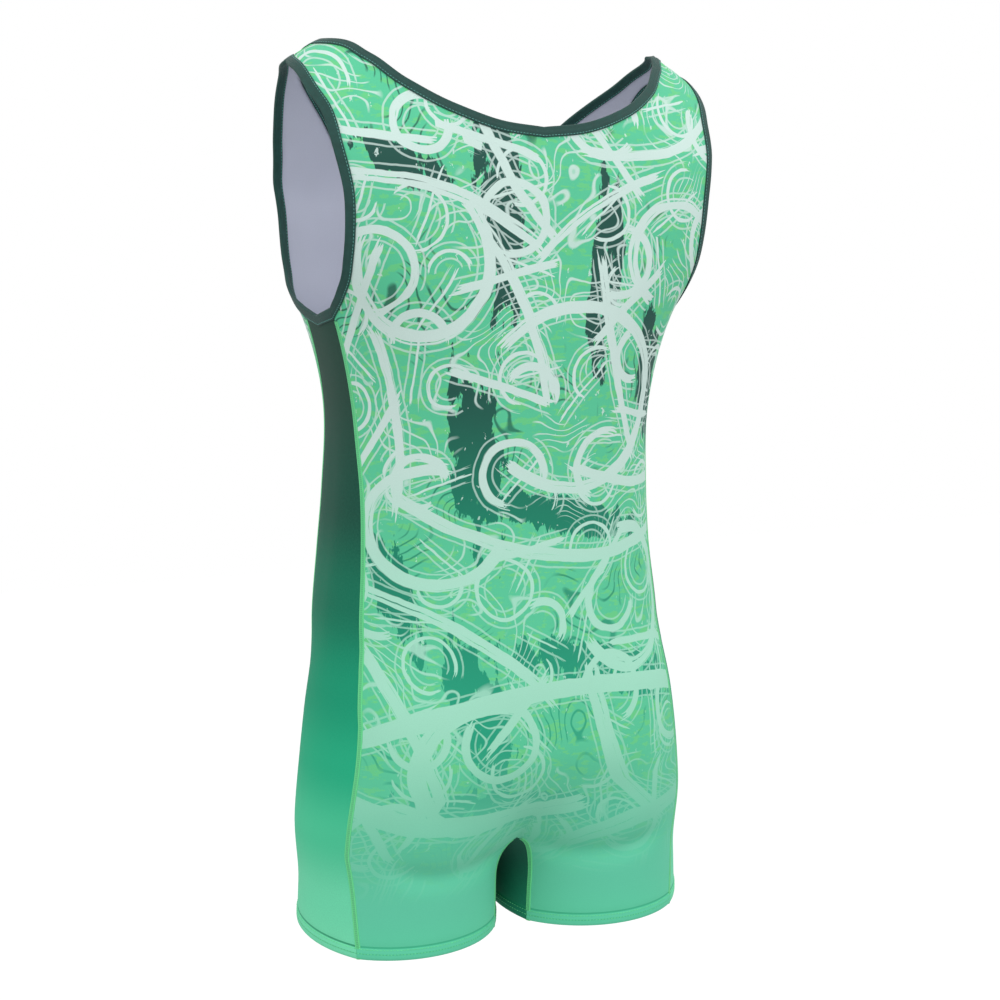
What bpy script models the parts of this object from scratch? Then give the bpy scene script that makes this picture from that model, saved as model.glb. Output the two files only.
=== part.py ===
"""Gymnastics singlet in its worn, hollow form, with no wearer in it.

Metres, +Z up. The front faces -Y and the wearer's left is +X. The origin is midway
between the undersides of the two shoulder straps, where the wearer holds the garment up.

The cloth follows one general figure: a trunk tube closed over by the slope of the
shoulders, joined softly to two legs. Each panel is a piece of that form between its
seams, given a wall. A point on the form is named by its height and by its turn round
the middle of the trunk or of the leg, measured from the back towards the left.
"""
import math

import bmesh
import bpy
import numpy as np
from mathutils import Vector
from mathutils.geometry import delaunay_2d_cdt

PART_NAME = "gymnastics_singlet"

# the tables count heights down from just above the shoulders, this far above the origin
TABLE_ZERO = 0.015

# cloth and sewing
WALL = 0.0012
SEAM_GAP = 0.0003
TAPE = 0.0009
FOLD_GAP = 0.0003
BINDING_WIDTH = 0.0095
BINDING_LAP = 0.0082
HEM_DEPTH = 0.011
HEM_STEP = 0.0015
HEM_TURN = 0.0010

# how near two lengths count as equal, and how far out the form is searched for
CENTRED = 1e-9
REACH = 0.3
NUDGE = 1e-4
SETTLE_ROUNDS = 14
LEVEL_ROUNDS = 28
HALVINGS = 28
SETTLE_SHARE = 0.85
LEAST_SLOPE = 0.05
MERGE = 2e-6
OTHER_SIDE = np.array([-1.0, 1.0, 1.0])

# spacing of the facets; turns are laid out flat as if round a circle of PLANE_RADIUS
PLANE_RADIUS = 0.14
FINE_ROWS = 160
FINE_CENTRE = 240
FINE_RIDGE = 60
TOP_SPANS = 2
STATION = 0.0125
LATTICE = 0.020
CLEARANCE = 0.008
SEAM_MARK = 0.012
HEM_MARKS = (HEM_DEPTH, HEM_DEPTH + HEM_STEP)
SEAM_SPANS = 27
GUSSET_SPANS = 7
GUSSET_COLUMNS = 6
HEM_SPANS = 12
SIDE_SPANS = 5

# trunk: height, half width, depth to the front, depth to the back, squareness of each
TRUNK = np.array([
    (0.02, 0.205, 0.083, 0.087, 2.8, 2.8),
    (-0.06, 0.207, 0.110, 0.104, 3.4, 3.4),
    (-0.13, 0.205, 0.126, 0.115, 3.7, 3.7),
    (-0.19, 0.193, 0.128, 0.116, 3.5, 3.4),
    (-0.245, 0.170, 0.122, 0.115, 2.8, 2.6),
    (-0.32, 0.154, 0.114, 0.109, 2.5, 2.2),
    (-0.40, 0.154, 0.112, 0.103, 2.8, 2.1),
    (-0.46, 0.160, 0.112, 0.104, 2.8, 2.0),
    (-0.52, 0.168, 0.106, 0.110, 2.6, 2.0),
    (-0.58, 0.171, 0.098, 0.117, 2.2, 2.1),
    (-0.64, 0.171, 0.093, 0.120, 2.1, 2.1),
    (-0.70, 0.168, 0.086, 0.112, 2.1, 2.1),
    (-0.77, 0.160, 0.078, 0.098, 2.1, 2.1),
])

# leg: height, distance of its middle from the centre, half width, front, back
LEG = np.array([
    (-0.56, 0.083, 0.073, 0.071, 0.080),
    (-0.64, 0.089, 0.086, 0.083, 0.096),
    (-0.70, 0.093, 0.092, 0.086, 0.095),
    (-0.76, 0.096, 0.093, 0.084, 0.091),
    (-0.82, 0.098, 0.094, 0.083, 0.089),
])

# height and distance from the centre of the axis that turns are measured about
AXIS = np.array([
    (0.02, 0.0),
    (-0.54, 0.0),
    (-0.60, 0.010),
    (-0.66, 0.045),
    (-0.72, 0.080),
    (-0.83, 0.090),
])

NECK_X = 0.150
ROOF_SLOPE = 0.5
ROOF_RADIUS = 0.055
ROOF_SOFT = 0.020
CROTCH = -0.736
CROTCH_RADIUS = 0.120
CROTCH_SOFT = 0.050
LEG_TOP = -0.560
LEG_SOFT = 0.060
JOIN_SOFT = 0.040

# crease under each buttock: distance from the centre, height; and how the seat swells above it
CREASE = np.array([
    (0.020, -0.7370),
    (0.050, -0.7410),
    (0.090, -0.7420),
    (0.115, -0.7380),
    (0.150, -0.7290),
])
CREASE_REACH = (0.012, 0.040, 0.110, 0.150)
CREASE_BACK = 0.050
CREASE_DEPTH = 0.0050
CREASE_WIDTH = 0.010
SWELL = 0.0030
SWELL_RISE = 0.032
SWELL_WIDTH = 0.024

# necklines from the shoulder to the centre: turn in degrees, height
NECK_BACK = np.array([
    (90.0, -0.0060),
    (80.0, -0.0085),
    (68.0, -0.0220),
    (54.0, -0.0450),
    (38.0, -0.0650),
    (20.0, -0.0780),
    (0.0, -0.0825),
])
NECK_FRONT = np.array([
    (90.0, -0.0060),
    (79.0, -0.0165),
    (70.0, -0.0310),
    (61.5, -0.0460),
    (53.5, -0.0620),
    (46.5, -0.0790),
    (38.0, -0.1030),
    (28.0, -0.1250),
    (14.0, -0.1420),
    (0.0, -0.1470),
])

# armhole edges from the shoulder to the side panel: turn in degrees, height
ARM_BACK = np.array([
    (90.0, -0.0245),
    (80.5, -0.0370),
    (74.0, -0.0550),
    (68.0, -0.0780),
    (64.2, -0.1080),
    (62.2, -0.1400),
    (62.8, -0.1700),
    (65.8, -0.2020),
    (70.4, -0.2200),
    (76.5, -0.2350),
])
ARM_FRONT = np.array([
    (90.0, -0.0245),
    (78.0, -0.0350),
    (70.5, -0.0580),
    (65.0, -0.0830),
    (60.0, -0.1150),
    (57.5, -0.1550),
    (60.0, -0.1970),
    (67.0, -0.2190),
    (82.0, -0.2355),
])
ARM_FOOT_TURN = 88.0
ARM_FOOT = -0.2430

# side seams down to the leg hem: height, turn in degrees
SEAM_BACK = np.array([
    (-0.2350, 76.5),
    (-0.2850, 77.3),
    (-0.3400, 77.0),
    (-0.4000, 74.5),
    (-0.4600, 73.2),
    (-0.5200, 71.5),
    (-0.5800, 67.5),
    (-0.6400, 61.8),
    (-0.6900, 58.5),
    (-0.7350, 55.0),
    (-0.7750, 51.5),
    (-0.8145, 48.0),
])
SEAM_FRONT = np.array([
    (-0.2355, 82.0),
    (-0.3000, 79.0),
    (-0.3600, 75.0),
    (-0.4200, 73.0),
    (-0.4800, 74.0),
    (-0.5400, 76.0),
    (-0.6000, 76.0),
    (-0.6600, 73.0),
    (-0.7200, 70.0),
    (-0.7600, 69.0),
    (-0.7995, 68.0),
])

# gusset seam from the crotch to the leg hem: distance from the centre, depth, share of the drop
GUSSET = np.array([
    (0.0, 0.060, 0.0),
    (0.009, 0.058, 0.09),
    (0.0145, 0.052, 0.35),
    (0.016, 0.048, 0.70),
    (0.017, 0.046, 1.0),
])
CROTCH_SEAM = -0.728
HEM_BACK = SEAM_BACK[-1, 0]
HEM_FRONT = SEAM_FRONT[-1, 0]

# places on the cloth that tell which side of an edge a panel lies on
NECK_INSIDE = np.array([0.125, 0.080, -0.110])
ARM_INSIDE = np.array([0.080, 0.110, -0.140])
RIDGE_INSIDE = np.array([0.170, 0.050, -0.030])
SEAM_INSIDE = np.array([0.080, 0.110, -0.500])
GUSSET_INSIDE = np.array([0.090, 0.100, -0.760])
SIDE_INSIDE = np.array([0.160, 0.000, -0.500])
GUSSET_MIDDLE = np.array([0.010, 0.000, -0.740])

FABRIC_PRINTED = ("printed_cloth", (0.16, 0.62, 0.46, 1.0), 0.75)
FABRIC_SIDE = ("side_cloth", (0.02, 0.22, 0.17, 1.0), 0.75)
FABRIC_GUSSET = ("gusset_cloth", (0.012, 0.10, 0.08, 1.0), 0.80)
FABRIC_TAPE = ("binding_tape", (0.025, 0.075, 0.062, 1.0), 0.60)


def through(rows, column, at):
    """Smooth value of a table column at the heights asked for."""
    heights, values = rows[::-1, 0], rows[::-1, column]
    slopes = np.gradient(values, heights)
    at = np.clip(at, heights[0], heights[-1])
    i = np.clip(np.searchsorted(heights, at) - 1, 0, len(heights) - 2)
    step = heights[i + 1] - heights[i]
    t = (at - heights[i]) / step
    rise = (3 - 2 * t) * t * t
    enter = (t - 1) ** 2 * t * step * slopes[i]
    leave = (t - 1) * t * t * step * slopes[i + 1]
    return values[i] * (1 - rise) + values[i + 1] * rise + enter + leave


def soft_max(a, b, width):
    """The larger of two distances, rounded where they meet."""
    near = np.maximum(width - np.abs(a - b), 0.0) / width
    return np.maximum(a, b) + near * near * width / 4


def seat_fold(x, y, z):
    """How far the cloth is drawn in under each buttock, less what it is let out above."""
    rise = z - np.interp(x, CREASE[:, 0], CREASE[:, 1])
    share = np.interp(x, CREASE_REACH, (0.0, 1.0, 1.0, 0.0))
    share = share * share * (3 - 2 * share) * np.clip(y / CREASE_BACK, 0.0, 1.0)
    groove = CREASE_DEPTH * np.exp(-((rise / CREASE_WIDTH) ** 2))
    swell = SWELL * np.exp(-(((rise - SWELL_RISE) / SWELL_WIDTH) ** 2))
    return share * (groove - swell)


def form(points):
    """Distance outside the figure, near enough: negative inside it."""
    x, y, z = np.abs(points[..., 0]), points[..., 1], points[..., 2]
    half, front, back = (through(TRUNK, column, z) for column in (1, 2, 3))
    deep = np.where(y > 0, back, front)
    power = np.where(y > 0, through(TRUNK, 5, z), through(TRUNK, 4, z))
    ring = ((x / half) ** power + (np.abs(y) / deep) ** power) ** (1 / power)
    tube = (ring - 1) * (front + back) / 2
    roof = z + ROOF_SLOPE * (x - NECK_X) + y * y / (2 * ROOF_RADIUS)
    floor = CROTCH + y * y / (2 * CROTCH_RADIUS) - z
    trunk = soft_max(soft_max(tube, roof, ROOF_SOFT), floor, CROTCH_SOFT)
    middle, half, front, back = (through(LEG, column, z) for column in (1, 2, 3, 4))
    ring = np.hypot((x - middle) / half, y / np.where(y > 0, back, front))
    leg = (ring - 1) * (front + back) / 2
    leg = soft_max(leg, z - LEG_TOP, LEG_SOFT)
    return -soft_max(-trunk, -leg, JOIN_SOFT) + seat_fold(x, y, z)


def gradient(points):
    """Steepest way out of the figure at each point."""
    slope = np.empty_like(points)
    for axis in range(3):
        shift = np.zeros(3)
        shift[axis] = NUDGE
        slope[..., axis] = (form(points + shift) - form(points - shift)) / (2 * NUDGE)
    return slope


def settle(points, level=False):
    """Bring points onto the form by the shortest way, or without a change of height."""
    points = np.array(points, float)
    centred = np.abs(points[..., 0]) < CENTRED
    for _ in range(LEVEL_ROUNDS if level else SETTLE_ROUNDS):
        slope = gradient(points)
        slope[..., 0] = np.where(centred, 0.0, slope[..., 0])
        if level:
            slope[..., 2] = 0.0
        size = np.maximum((slope * slope).sum(-1), LEAST_SLOPE)
        points = points - SETTLE_SHARE * form(points)[..., None] * slope / size[..., None]
    return points


def normals(points):
    slope = gradient(points)
    slope[..., 0] = np.where(np.abs(points[..., 0]) < CENTRED, 0.0, slope[..., 0])
    return slope / np.linalg.norm(slope, axis=-1)[..., None]


def axis_at(heights):
    return np.interp(-heights, -AXIS[:, 0], AXIS[:, 1])


def on_form(turns, heights, way):
    """Points on the form at turns (degrees) and heights; way is 1 at the back, -1 in front."""
    turns = np.radians(np.asarray(turns, float))
    heights = np.asarray(heights, float)
    middle = axis_at(heights)
    across, along = np.sin(turns), way * np.cos(turns)
    to_centre = np.where(across < 0, middle / np.maximum(-across, CENTRED), REACH)
    near, far = np.zeros_like(turns), np.minimum(to_centre, REACH)
    for _ in range(HALVINGS):
        half = (near + far) / 2
        point = np.stack([middle + across * half, along * half, heights], -1)
        inside = form(point) < 0
        near, far = np.where(inside, half, near), np.where(inside, far, half)
    half = (near + far) / 2
    return np.stack([middle + across * half, along * half, heights], -1)


def flat(points, way):
    """Place of points in the plane of turns and heights that the facets are laid out in."""
    turn = np.arctan2(points[:, 0] - axis_at(points[:, 2]), way * points[:, 1])
    return np.stack([turn * PLANE_RADIUS, points[:, 2]], -1)


def rounded(rows):
    """Smooth run through the rows of a table, each column on its own."""
    at = measure(rows / np.ptp(rows, axis=0))
    fine = np.linspace(0.0, at[-1], FINE_ROWS)
    columns = []
    for column in rows.T:
        table = np.stack([at, column], -1)[::-1]
        columns.append(through(table, 1, fine))
    return np.stack(columns, -1)


def measure(line):
    """Distance of each point from the first, along the line."""
    return np.concatenate([[0.0], np.cumsum(np.linalg.norm(np.diff(line, axis=0), axis=1))])


def stations(line, first=(), last=(), count=None):
    """Points along a fine line: its ends, marks near either end, and even ones between.

    The marks are distances from the start (first) and from the end (last), nearest first.
    """
    lengths = measure(line)
    total = lengths[-1]
    start = first[-1] if first else 0.0
    end = total - (last[-1] if last else 0.0)
    spans = count or max(1, round((end - start) / STATION))
    wanted = [0.0, *first[:-1]] if first else []
    wanted += list(np.linspace(start, end, spans + 1))
    if last:
        wanted += [total - mark for mark in reversed(last[:-1])] + [total]
    return np.stack([np.interp(wanted, lengths, line[:, k]) for k in range(3)], -1)


def inward(edge, inside):
    """Direction in the cloth, square to an edge, on the side of the point inside."""
    along = np.gradient(edge, axis=0)
    across = np.cross(along, normals(edge))
    across /= np.linalg.norm(across, axis=1)[:, None]
    toward = ((inside - edge[len(edge) // 2]) * across[len(edge) // 2]).sum()
    return across if toward > 0 else -across


def strip(edge, inside, distance, start, end):
    """Line laid a distance in from an edge, with its two ends given."""
    line = settle(edge + inward(edge, inside) * distance)
    line[0], line[-1] = start, end
    return line


class Panel:
    """One cut piece: points on the form, joined into facets, then given a wall."""

    def __init__(self, way):
        self.way = way
        self.points = []
        self.shift = []
        self.thick = []
        self.faces = []

    def add(self, points):
        first = len(self.points)
        for point in points:
            self.points.append(np.array(point))
            self.shift.append(np.zeros(3))
            self.thick.append(0.0)
        return list(range(first, first + len(points)))

    def band(self, outer, inner):
        for k in range(len(outer) - 1):
            self.faces.append((outer[k], inner[k + 1], outer[k + 1]))
            self.faces.append((outer[k], inner[k], inner[k + 1]))

    def set_back(self, indices, inside):
        edge = np.array([self.points[k] for k in indices])
        moves = inward(edge, inside) * SEAM_GAP / 2
        for k, move in zip(indices, moves):
            if abs(self.points[k][0]) < CENTRED:
                move = move * np.array([0.0, 1.0, 1.0])
            self.shift[k] = self.shift[k] + move

    def fill(self, loop):
        """Facets inside a loop of points, over an even spread of points between them."""
        border = flat(np.array([self.points[k] for k in loop]), self.way)
        low, high = border.min(axis=0), border.max(axis=0)
        rise = LATTICE * math.sqrt(0.75)
        spread = []
        for row in range(1, int((high[1] - low[1]) / rise) + 1):
            offset = LATTICE / 2 if row % 2 else 0.0
            height = high[1] - row * rise
            for column in range(int((high[0] - low[0]) / LATTICE) + 2):
                spread.append((low[0] + offset + column * LATTICE, height))
        spread = np.array(spread)
        ends = np.roll(border, -1, axis=0)
        spread = spread[inside_loop(spread, border, ends)]
        spread = spread[clear_of(spread, border, ends) > CLEARANCE]
        solid = on_form(np.degrees(spread[:, 0] / PLANE_RADIUS), spread[:, 1], self.way)
        indices = list(loop) + self.add(solid)
        places = [Vector(p) for p in np.concatenate([border, spread])]
        ring = [(k, (k + 1) % len(loop)) for k in range(len(loop))]
        found = delaunay_2d_cdt(places, ring, [], 1, CENTRED)
        sources = [min(group) for group in found[3]]
        for face in found[2]:
            self.faces.append(tuple(indices[sources[k]] for k in face))

    def mirrored(self):
        """This half and its mirror image, joined on the centre line."""
        count = len(self.points)
        middle = [abs(p[0]) < CENTRED for p in self.points]
        other = list(range(count))
        for k in range(count):
            if not middle[k]:
                other[k] = len(self.points)
                self.points.append(self.points[k] * OTHER_SIDE)
                self.shift.append(self.shift[k] * OTHER_SIDE)
                self.thick.append(self.thick[k])
        self.faces += [tuple(other[k] for k in reversed(face)) for face in self.faces]
        return self

    def walled(self):
        """Outer and inner layer of the cloth and the edge between them."""
        points = np.array(self.points)
        out = normals(points)
        points = points + np.array(self.shift)
        extra = np.array(self.thick)[:, None]
        outer = points + out * WALL / 2
        inner = points - out * (WALL / 2 + extra)
        count = len(points)
        uses = {}
        for face in self.faces:
            for k in range(3):
                edge = (face[k], face[(k + 1) % 3])
                uses.setdefault(tuple(sorted(edge)), []).append(edge)
        solid = list(self.faces)
        solid += [tuple(k + count for k in reversed(face)) for face in self.faces]
        for start, end in (sides[0] for sides in uses.values() if len(sides) == 1):
            solid.append((end, start, start + count))
            solid.append((end, start + count, end + count))
        return np.concatenate([outer, inner]), solid


def inside_loop(places, border, ends):
    """Which places lie inside a closed loop."""
    crossed = np.zeros(len(places), int)
    for (ax, ay), (bx, by) in zip(border, ends):
        spans = (ay > places[:, 1]) != (by > places[:, 1])
        if ay == by:
            continue
        cut = ax + (places[:, 1] - ay) * (bx - ax) / (by - ay)
        crossed += spans & (places[:, 0] < cut)
    return crossed % 2 == 1


def clear_of(places, border, ends):
    """Distance of each place from the nearest side of a loop."""
    run = ends - border
    size = (run * run).sum(-1)
    from_start = places[:, None, :] - border[None]
    t = np.clip((from_start * run[None]).sum(-1) / size, 0.0, 1.0)
    return np.linalg.norm(from_start - t[..., None] * run[None], axis=-1).min(axis=1)


def place(name, points, faces, fabric):
    """Add a closed solid to the scene under its own name and material."""
    mesh = bpy.data.meshes.new(name)
    points = points + np.array([0.0, 0.0, TABLE_ZERO])
    mesh.from_pydata([tuple(p) for p in points], [], [tuple(f) for f in faces])
    shape = bmesh.new()
    shape.from_mesh(mesh)
    bmesh.ops.recalc_face_normals(shape, faces=shape.faces)
    shape.to_mesh(mesh)
    shape.free()
    label, colour, roughness = fabric
    material = bpy.data.materials.new(label + "_" + name)
    material.use_nodes = True
    shader = material.node_tree.nodes["Principled BSDF"]
    shader.inputs["Base Color"].default_value = colour
    shader.inputs["Roughness"].default_value = roughness
    mesh.materials.append(material)
    piece = bpy.data.objects.new(name, mesh)
    bpy.data.collections[PART_NAME].objects.link(piece)
    return piece


def side_seam(way):
    """Stations of a side seam from the armhole down to the hem."""
    rows = rounded(SEAM_BACK if way > 0 else SEAM_FRONT)
    line = on_form(rows[:, 1], rows[:, 0], way)
    return stations(line, (SEAM_MARK,), HEM_MARKS, SEAM_SPANS)


def gusset_seam(way):
    """Stations of a gusset seam from the crotch down to the hem."""
    line = rounded(GUSSET) * np.array([1.0, way, 1.0])
    line[:, 2] = CROTCH_SEAM + line[:, 2] * ((HEM_BACK if way > 0 else HEM_FRONT) - CROTCH_SEAM)
    return stations(settle(line), (), HEM_MARKS, GUSSET_SPANS)


def across_leg(start, end, way, count):
    """Stations level round a leg between two points of the form."""
    turns = np.linspace(*flat(np.array([start, end]), way)[:, 0] / PLANE_RADIUS, count + 1)
    heights = np.linspace(start[2], end[2], count + 1)
    line = on_form(np.degrees(turns), heights, way)
    line[0], line[-1] = start, end
    return line


def half_panel(way):
    """Left half of the back (way 1) or of the front (way -1), with its bound edges."""
    rows = rounded(NECK_BACK if way > 0 else NECK_FRONT)
    neck = stations(on_form(rows[:, 0], rows[:, 1], way)[::-1])
    neck[0, 0] = 0.0
    neck[-1, 1] = 0.0
    rows = rounded(ARM_BACK if way > 0 else ARM_FRONT)
    arm = stations(on_form(rows[:, 0], rows[:, 1], way))
    arm[0, 1] = 0.0
    ridge = settle(np.linspace(neck[-1], arm[0], FINE_RIDGE))
    ridge = stations(ridge, (BINDING_WIDTH,), (BINDING_WIDTH,))
    seam, gusset = side_seam(way), gusset_seam(way)
    centre = settle(np.linspace(neck[0], gusset[0], FINE_CENTRE), level=True)
    centre = stations(centre, (BINDING_WIDTH,))

    panel = Panel(way)
    facing = np.array([1.0, way, 1.0])
    neck_in = strip(neck, NECK_INSIDE * facing, BINDING_WIDTH, centre[1], ridge[1])
    arm_in = strip(arm, ARM_INSIDE * facing, BINDING_WIDTH, ridge[-2], seam[1])
    hems = [across_leg(seam[-k], gusset[-k], way, HEM_SPANS) for k in (1, 2, 3)]
    at_neck, at_neck_in = panel.add(neck), panel.add(neck_in)
    at_arm, at_arm_in = panel.add(arm), panel.add(arm_in)
    at_hem = [panel.add(hem) for hem in hems]
    at_ridge = panel.add(ridge[2:-2])
    at_seam = panel.add(seam[2:-3])
    at_gusset = panel.add(gusset[:-3])
    at_centre = panel.add(centre[2:-1])

    panel.band(at_neck, at_neck_in)
    panel.band(at_arm, at_arm_in)
    panel.band(at_hem[0], at_hem[1])
    panel.band(at_hem[1], at_hem[2])
    panel.fill(at_neck_in + at_ridge + at_arm_in + at_seam + at_hem[2]
               + at_gusset[::-1] + at_centre[::-1])
    for k in at_hem[0] + at_hem[1]:
        panel.thick[k] = HEM_TURN
    panel.set_back([at_neck[-1], at_neck_in[-1]] + at_ridge + [at_arm_in[0], at_arm[0]],
                   RIDGE_INSIDE * facing)
    panel.set_back([at_arm[-1], at_arm_in[-1]] + at_seam
                   + [at_hem[2][0], at_hem[1][0], at_hem[0][0]], SEAM_INSIDE * facing)
    panel.set_back(at_gusset + [at_hem[2][-1], at_hem[1][-1], at_hem[0][-1]],
                   GUSSET_INSIDE * facing)
    return panel, (neck, neck_in), (arm, arm_in)


def side_panel():
    """Left side panel, from the foot of the armhole to the hem."""
    back, front = side_seam(1), side_seam(-1)
    lines = []
    for start, end, drop in ((back[0], front[0], 0.0), (back[1], front[1], BINDING_WIDTH)):
        middle = on_form([ARM_FOOT_TURN], [ARM_FOOT - drop], 1)[0]
        line = settle(np.concatenate([np.linspace(start, middle, TOP_SPANS + 1),
                                      np.linspace(middle, end, TOP_SPANS + 1)[1:]]))
        line[0], line[-1] = start, end
        lines.append(line)
    top, top_in = lines
    panel = Panel(1)
    hems = [across_leg(front[-k], back[-k], 1, SIDE_SPANS) for k in (1, 2, 3)]
    at_top, at_top_in = panel.add(top), panel.add(top_in)
    at_hem = [panel.add(hem) for hem in hems]
    at_front, at_back = panel.add(front[2:-3]), panel.add(back[2:-3])
    panel.band(at_top, at_top_in)
    panel.band(at_hem[0], at_hem[1])
    panel.band(at_hem[1], at_hem[2])
    panel.fill(at_top_in + at_front + at_hem[2] + at_back[::-1])
    for k in at_hem[0] + at_hem[1]:
        panel.thick[k] = HEM_TURN
    panel.set_back([at_top[0], at_top_in[0]] + at_back
                   + [at_hem[2][-1], at_hem[1][-1], at_hem[0][-1]], SIDE_INSIDE)
    panel.set_back([at_top[-1], at_top_in[-1]] + at_front
                   + [at_hem[2][0], at_hem[1][0], at_hem[0][0]], SIDE_INSIDE)
    return panel, (top, top_in)


def gusset_half():
    """Left half of the gusset, from the centre of the crotch down the inside of the leg."""
    back, front = gusset_seam(1), gusset_seam(-1)
    panel = Panel(1)
    rows = []
    for start, end in zip(back, front):
        line = settle(np.linspace(start, end, GUSSET_COLUMNS + 1))
        line[0], line[-1] = start, end
        rows.append(panel.add(line))
    for upper, lower in zip(rows, rows[1:]):
        panel.band(upper, lower)
    for k in rows[-1] + rows[-2]:
        panel.thick[k] = HEM_TURN
    for column in (0, -1):
        panel.set_back([row[column] for row in rows], GUSSET_MIDDLE)
    return panel


def binding(runs, round_both=False):
    """Folded tape over bound edges. Each run is an edge and the line a binding width in from it.

    The runs are of the left half; a tape that goes round both halves is closed by its mirror image.
    """
    near, far = WALL / 2 + FOLD_GAP, WALL / 2 + FOLD_GAP + TAPE
    fold = -FOLD_GAP - TAPE
    section = [(BINDING_LAP, far), (0.0, far), (fold, near), (fold, -near), (0.0, -far),
               (BINDING_LAP, -far), (BINDING_LAP, -near), (-FOLD_GAP, -near),
               (-FOLD_GAP, near), (BINDING_LAP, near)]
    points, faces = [], []
    for edge, inner in runs:
        out_edge, out_inner = normals(edge), normals(inner)
        toward = inner - edge
        unit = toward / np.linalg.norm(toward, axis=1)[:, None]
        first = len(points)
        for k in range(len(edge)):
            for lap, lift in section:
                share = max(lap, 0.0) / BINDING_WIDTH
                middle = edge[k] + toward[k] * share + unit[k] * min(lap, 0.0)
                out = out_edge[k] * (1 - share) + out_inner[k] * share
                points.append(middle + out * lift)
        size = len(section)
        for k in range(len(edge) - 1):
            for j in range(size):
                here, there = first + k * size, first + (k + 1) * size
                a, b = j, (j + 1) % size
                if section[a][0] > section[b][0]:
                    faces += [(here + b, there + a, there + b), (here + b, here + a, there + a)]
                else:
                    faces += [(here + a, there + b, there + a), (here + a, here + b, there + b)]
    if round_both:
        count = len(points)
        points += [p * OTHER_SIDE for p in points]
        faces += [tuple(k + count for k in reversed(face)) for face in faces]
    shape = bmesh.new()
    corners = [shape.verts.new(tuple(p)) for p in points]
    for face in faces:
        shape.faces.new([corners[k] for k in face])
    bmesh.ops.remove_doubles(shape, verts=shape.verts, dist=MERGE)
    shape.verts.index_update()
    points = np.array([v.co for v in shape.verts])
    faces = [tuple(v.index for v in face.verts) for face in shape.faces]
    shape.free()
    return points, faces


def main():
    for piece in list(bpy.data.objects):
        bpy.data.objects.remove(piece, do_unlink=True)
    parts = bpy.data.collections.new(PART_NAME)
    bpy.context.scene.collection.children.link(parts)

    back, neck_back, arm_back = half_panel(1)
    front, neck_front, arm_front = half_panel(-1)
    side, arm_foot = side_panel()
    place("back", *back.mirrored().walled(), FABRIC_PRINTED)
    place("front", *front.mirrored().walled(), FABRIC_PRINTED)
    points, faces = side.walled()
    place("side_left", points, faces, FABRIC_SIDE)
    place("side_right", points * OTHER_SIDE, faces, FABRIC_SIDE)
    place("gusset", *gusset_half().mirrored().walled(), FABRIC_GUSSET)
    place("neck_binding", *binding([neck_back, neck_front], round_both=True), FABRIC_TAPE)
    points, faces = binding([arm_back, arm_foot, arm_front])
    place("armhole_binding_left", points, faces, FABRIC_TAPE)
    place("armhole_binding_right", points * OTHER_SIDE, faces, FABRIC_TAPE)


main()
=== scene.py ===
"""Gymnastics singlet in its worn form: printed stretch cloth, side panels, gusset and bindings.

Metres, +Z up, the wearer's left is +X and the front faces -Y. The cloth is laid over the
same figure that the solids follow, with finer facets, hems, seams and stitches.
"""

import math

import bmesh
import bpy
import numpy as np
from bpy.props import FloatProperty, FloatVectorProperty, PointerProperty
from mathutils import Matrix, Vector
from mathutils.geometry import delaunay_2d_cdt


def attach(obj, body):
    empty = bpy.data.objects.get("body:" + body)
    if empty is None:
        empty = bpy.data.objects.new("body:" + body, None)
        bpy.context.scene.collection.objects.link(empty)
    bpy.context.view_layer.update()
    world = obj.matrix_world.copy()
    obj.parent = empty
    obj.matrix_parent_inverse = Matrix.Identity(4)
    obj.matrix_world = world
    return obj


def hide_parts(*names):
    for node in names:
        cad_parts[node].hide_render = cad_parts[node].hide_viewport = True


bl_info = {
    "name": "Gymnastics singlet",
    "version": (1, 0, 0),
    "blender": (4, 5, 0),
    "location": "View3D > Sidebar > Singlet",
    "description": "Sews a worn, hollow gymnastics singlet over its packed solids",
    "category": "Object",
}

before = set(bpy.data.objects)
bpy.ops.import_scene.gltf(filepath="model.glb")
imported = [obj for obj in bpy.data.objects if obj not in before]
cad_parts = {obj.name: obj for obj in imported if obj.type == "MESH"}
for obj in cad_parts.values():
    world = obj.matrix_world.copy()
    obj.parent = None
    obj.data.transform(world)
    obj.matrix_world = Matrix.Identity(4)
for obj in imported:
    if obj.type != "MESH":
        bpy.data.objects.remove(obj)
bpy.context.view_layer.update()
BODY = "root"

# the tables count heights down from just above the shoulders, this far above the origin
TABLE_ZERO = 0.015

# cloth: its wall and the gap left for a seam
WALL = 0.0012
SEAM_GAP = 0.0003

# folded tape: its thickness, its gap from the cloth, the band it covers and how far it laps
TAPE = 0.0009
FOLD_GAP = 0.0003
BINDING_WIDTH = 0.0095
BINDING_LAP = 0.0082

# turned hem: extra thickness, heights of its rows over the edge, how proud each row stands,
# and the height over the edge that the rest of the cloth is given
HEM_TURN = 0.0010
HEM_MARKS = (0.0010, 0.0030, 0.0060, 0.0088, 0.0106, 0.0116, 0.0132)
HEM_LIFTS = (-0.0004, 0.0004, 0.0008, 0.0007, 0.0008, 0.0003, -0.0004, 0.0)
PAST_HEM = 0.030

# facets: their spacing along the edges and between them, how clear of the edges they start, the
# first mark on a side seam, the reach of a strip's bent ends, the radius turns are laid out at,
# how near two corners are one, and the turn in degrees from which an edge is sharp
STATION = 0.005
LATTICE = 0.006
CLEARANCE = 0.0026
SEAM_MARK = 0.012
BEND = 0.040
PLANE_RADIUS = 0.14
MEETING = 1e-7
SHARP_TURN = 50.0

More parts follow.
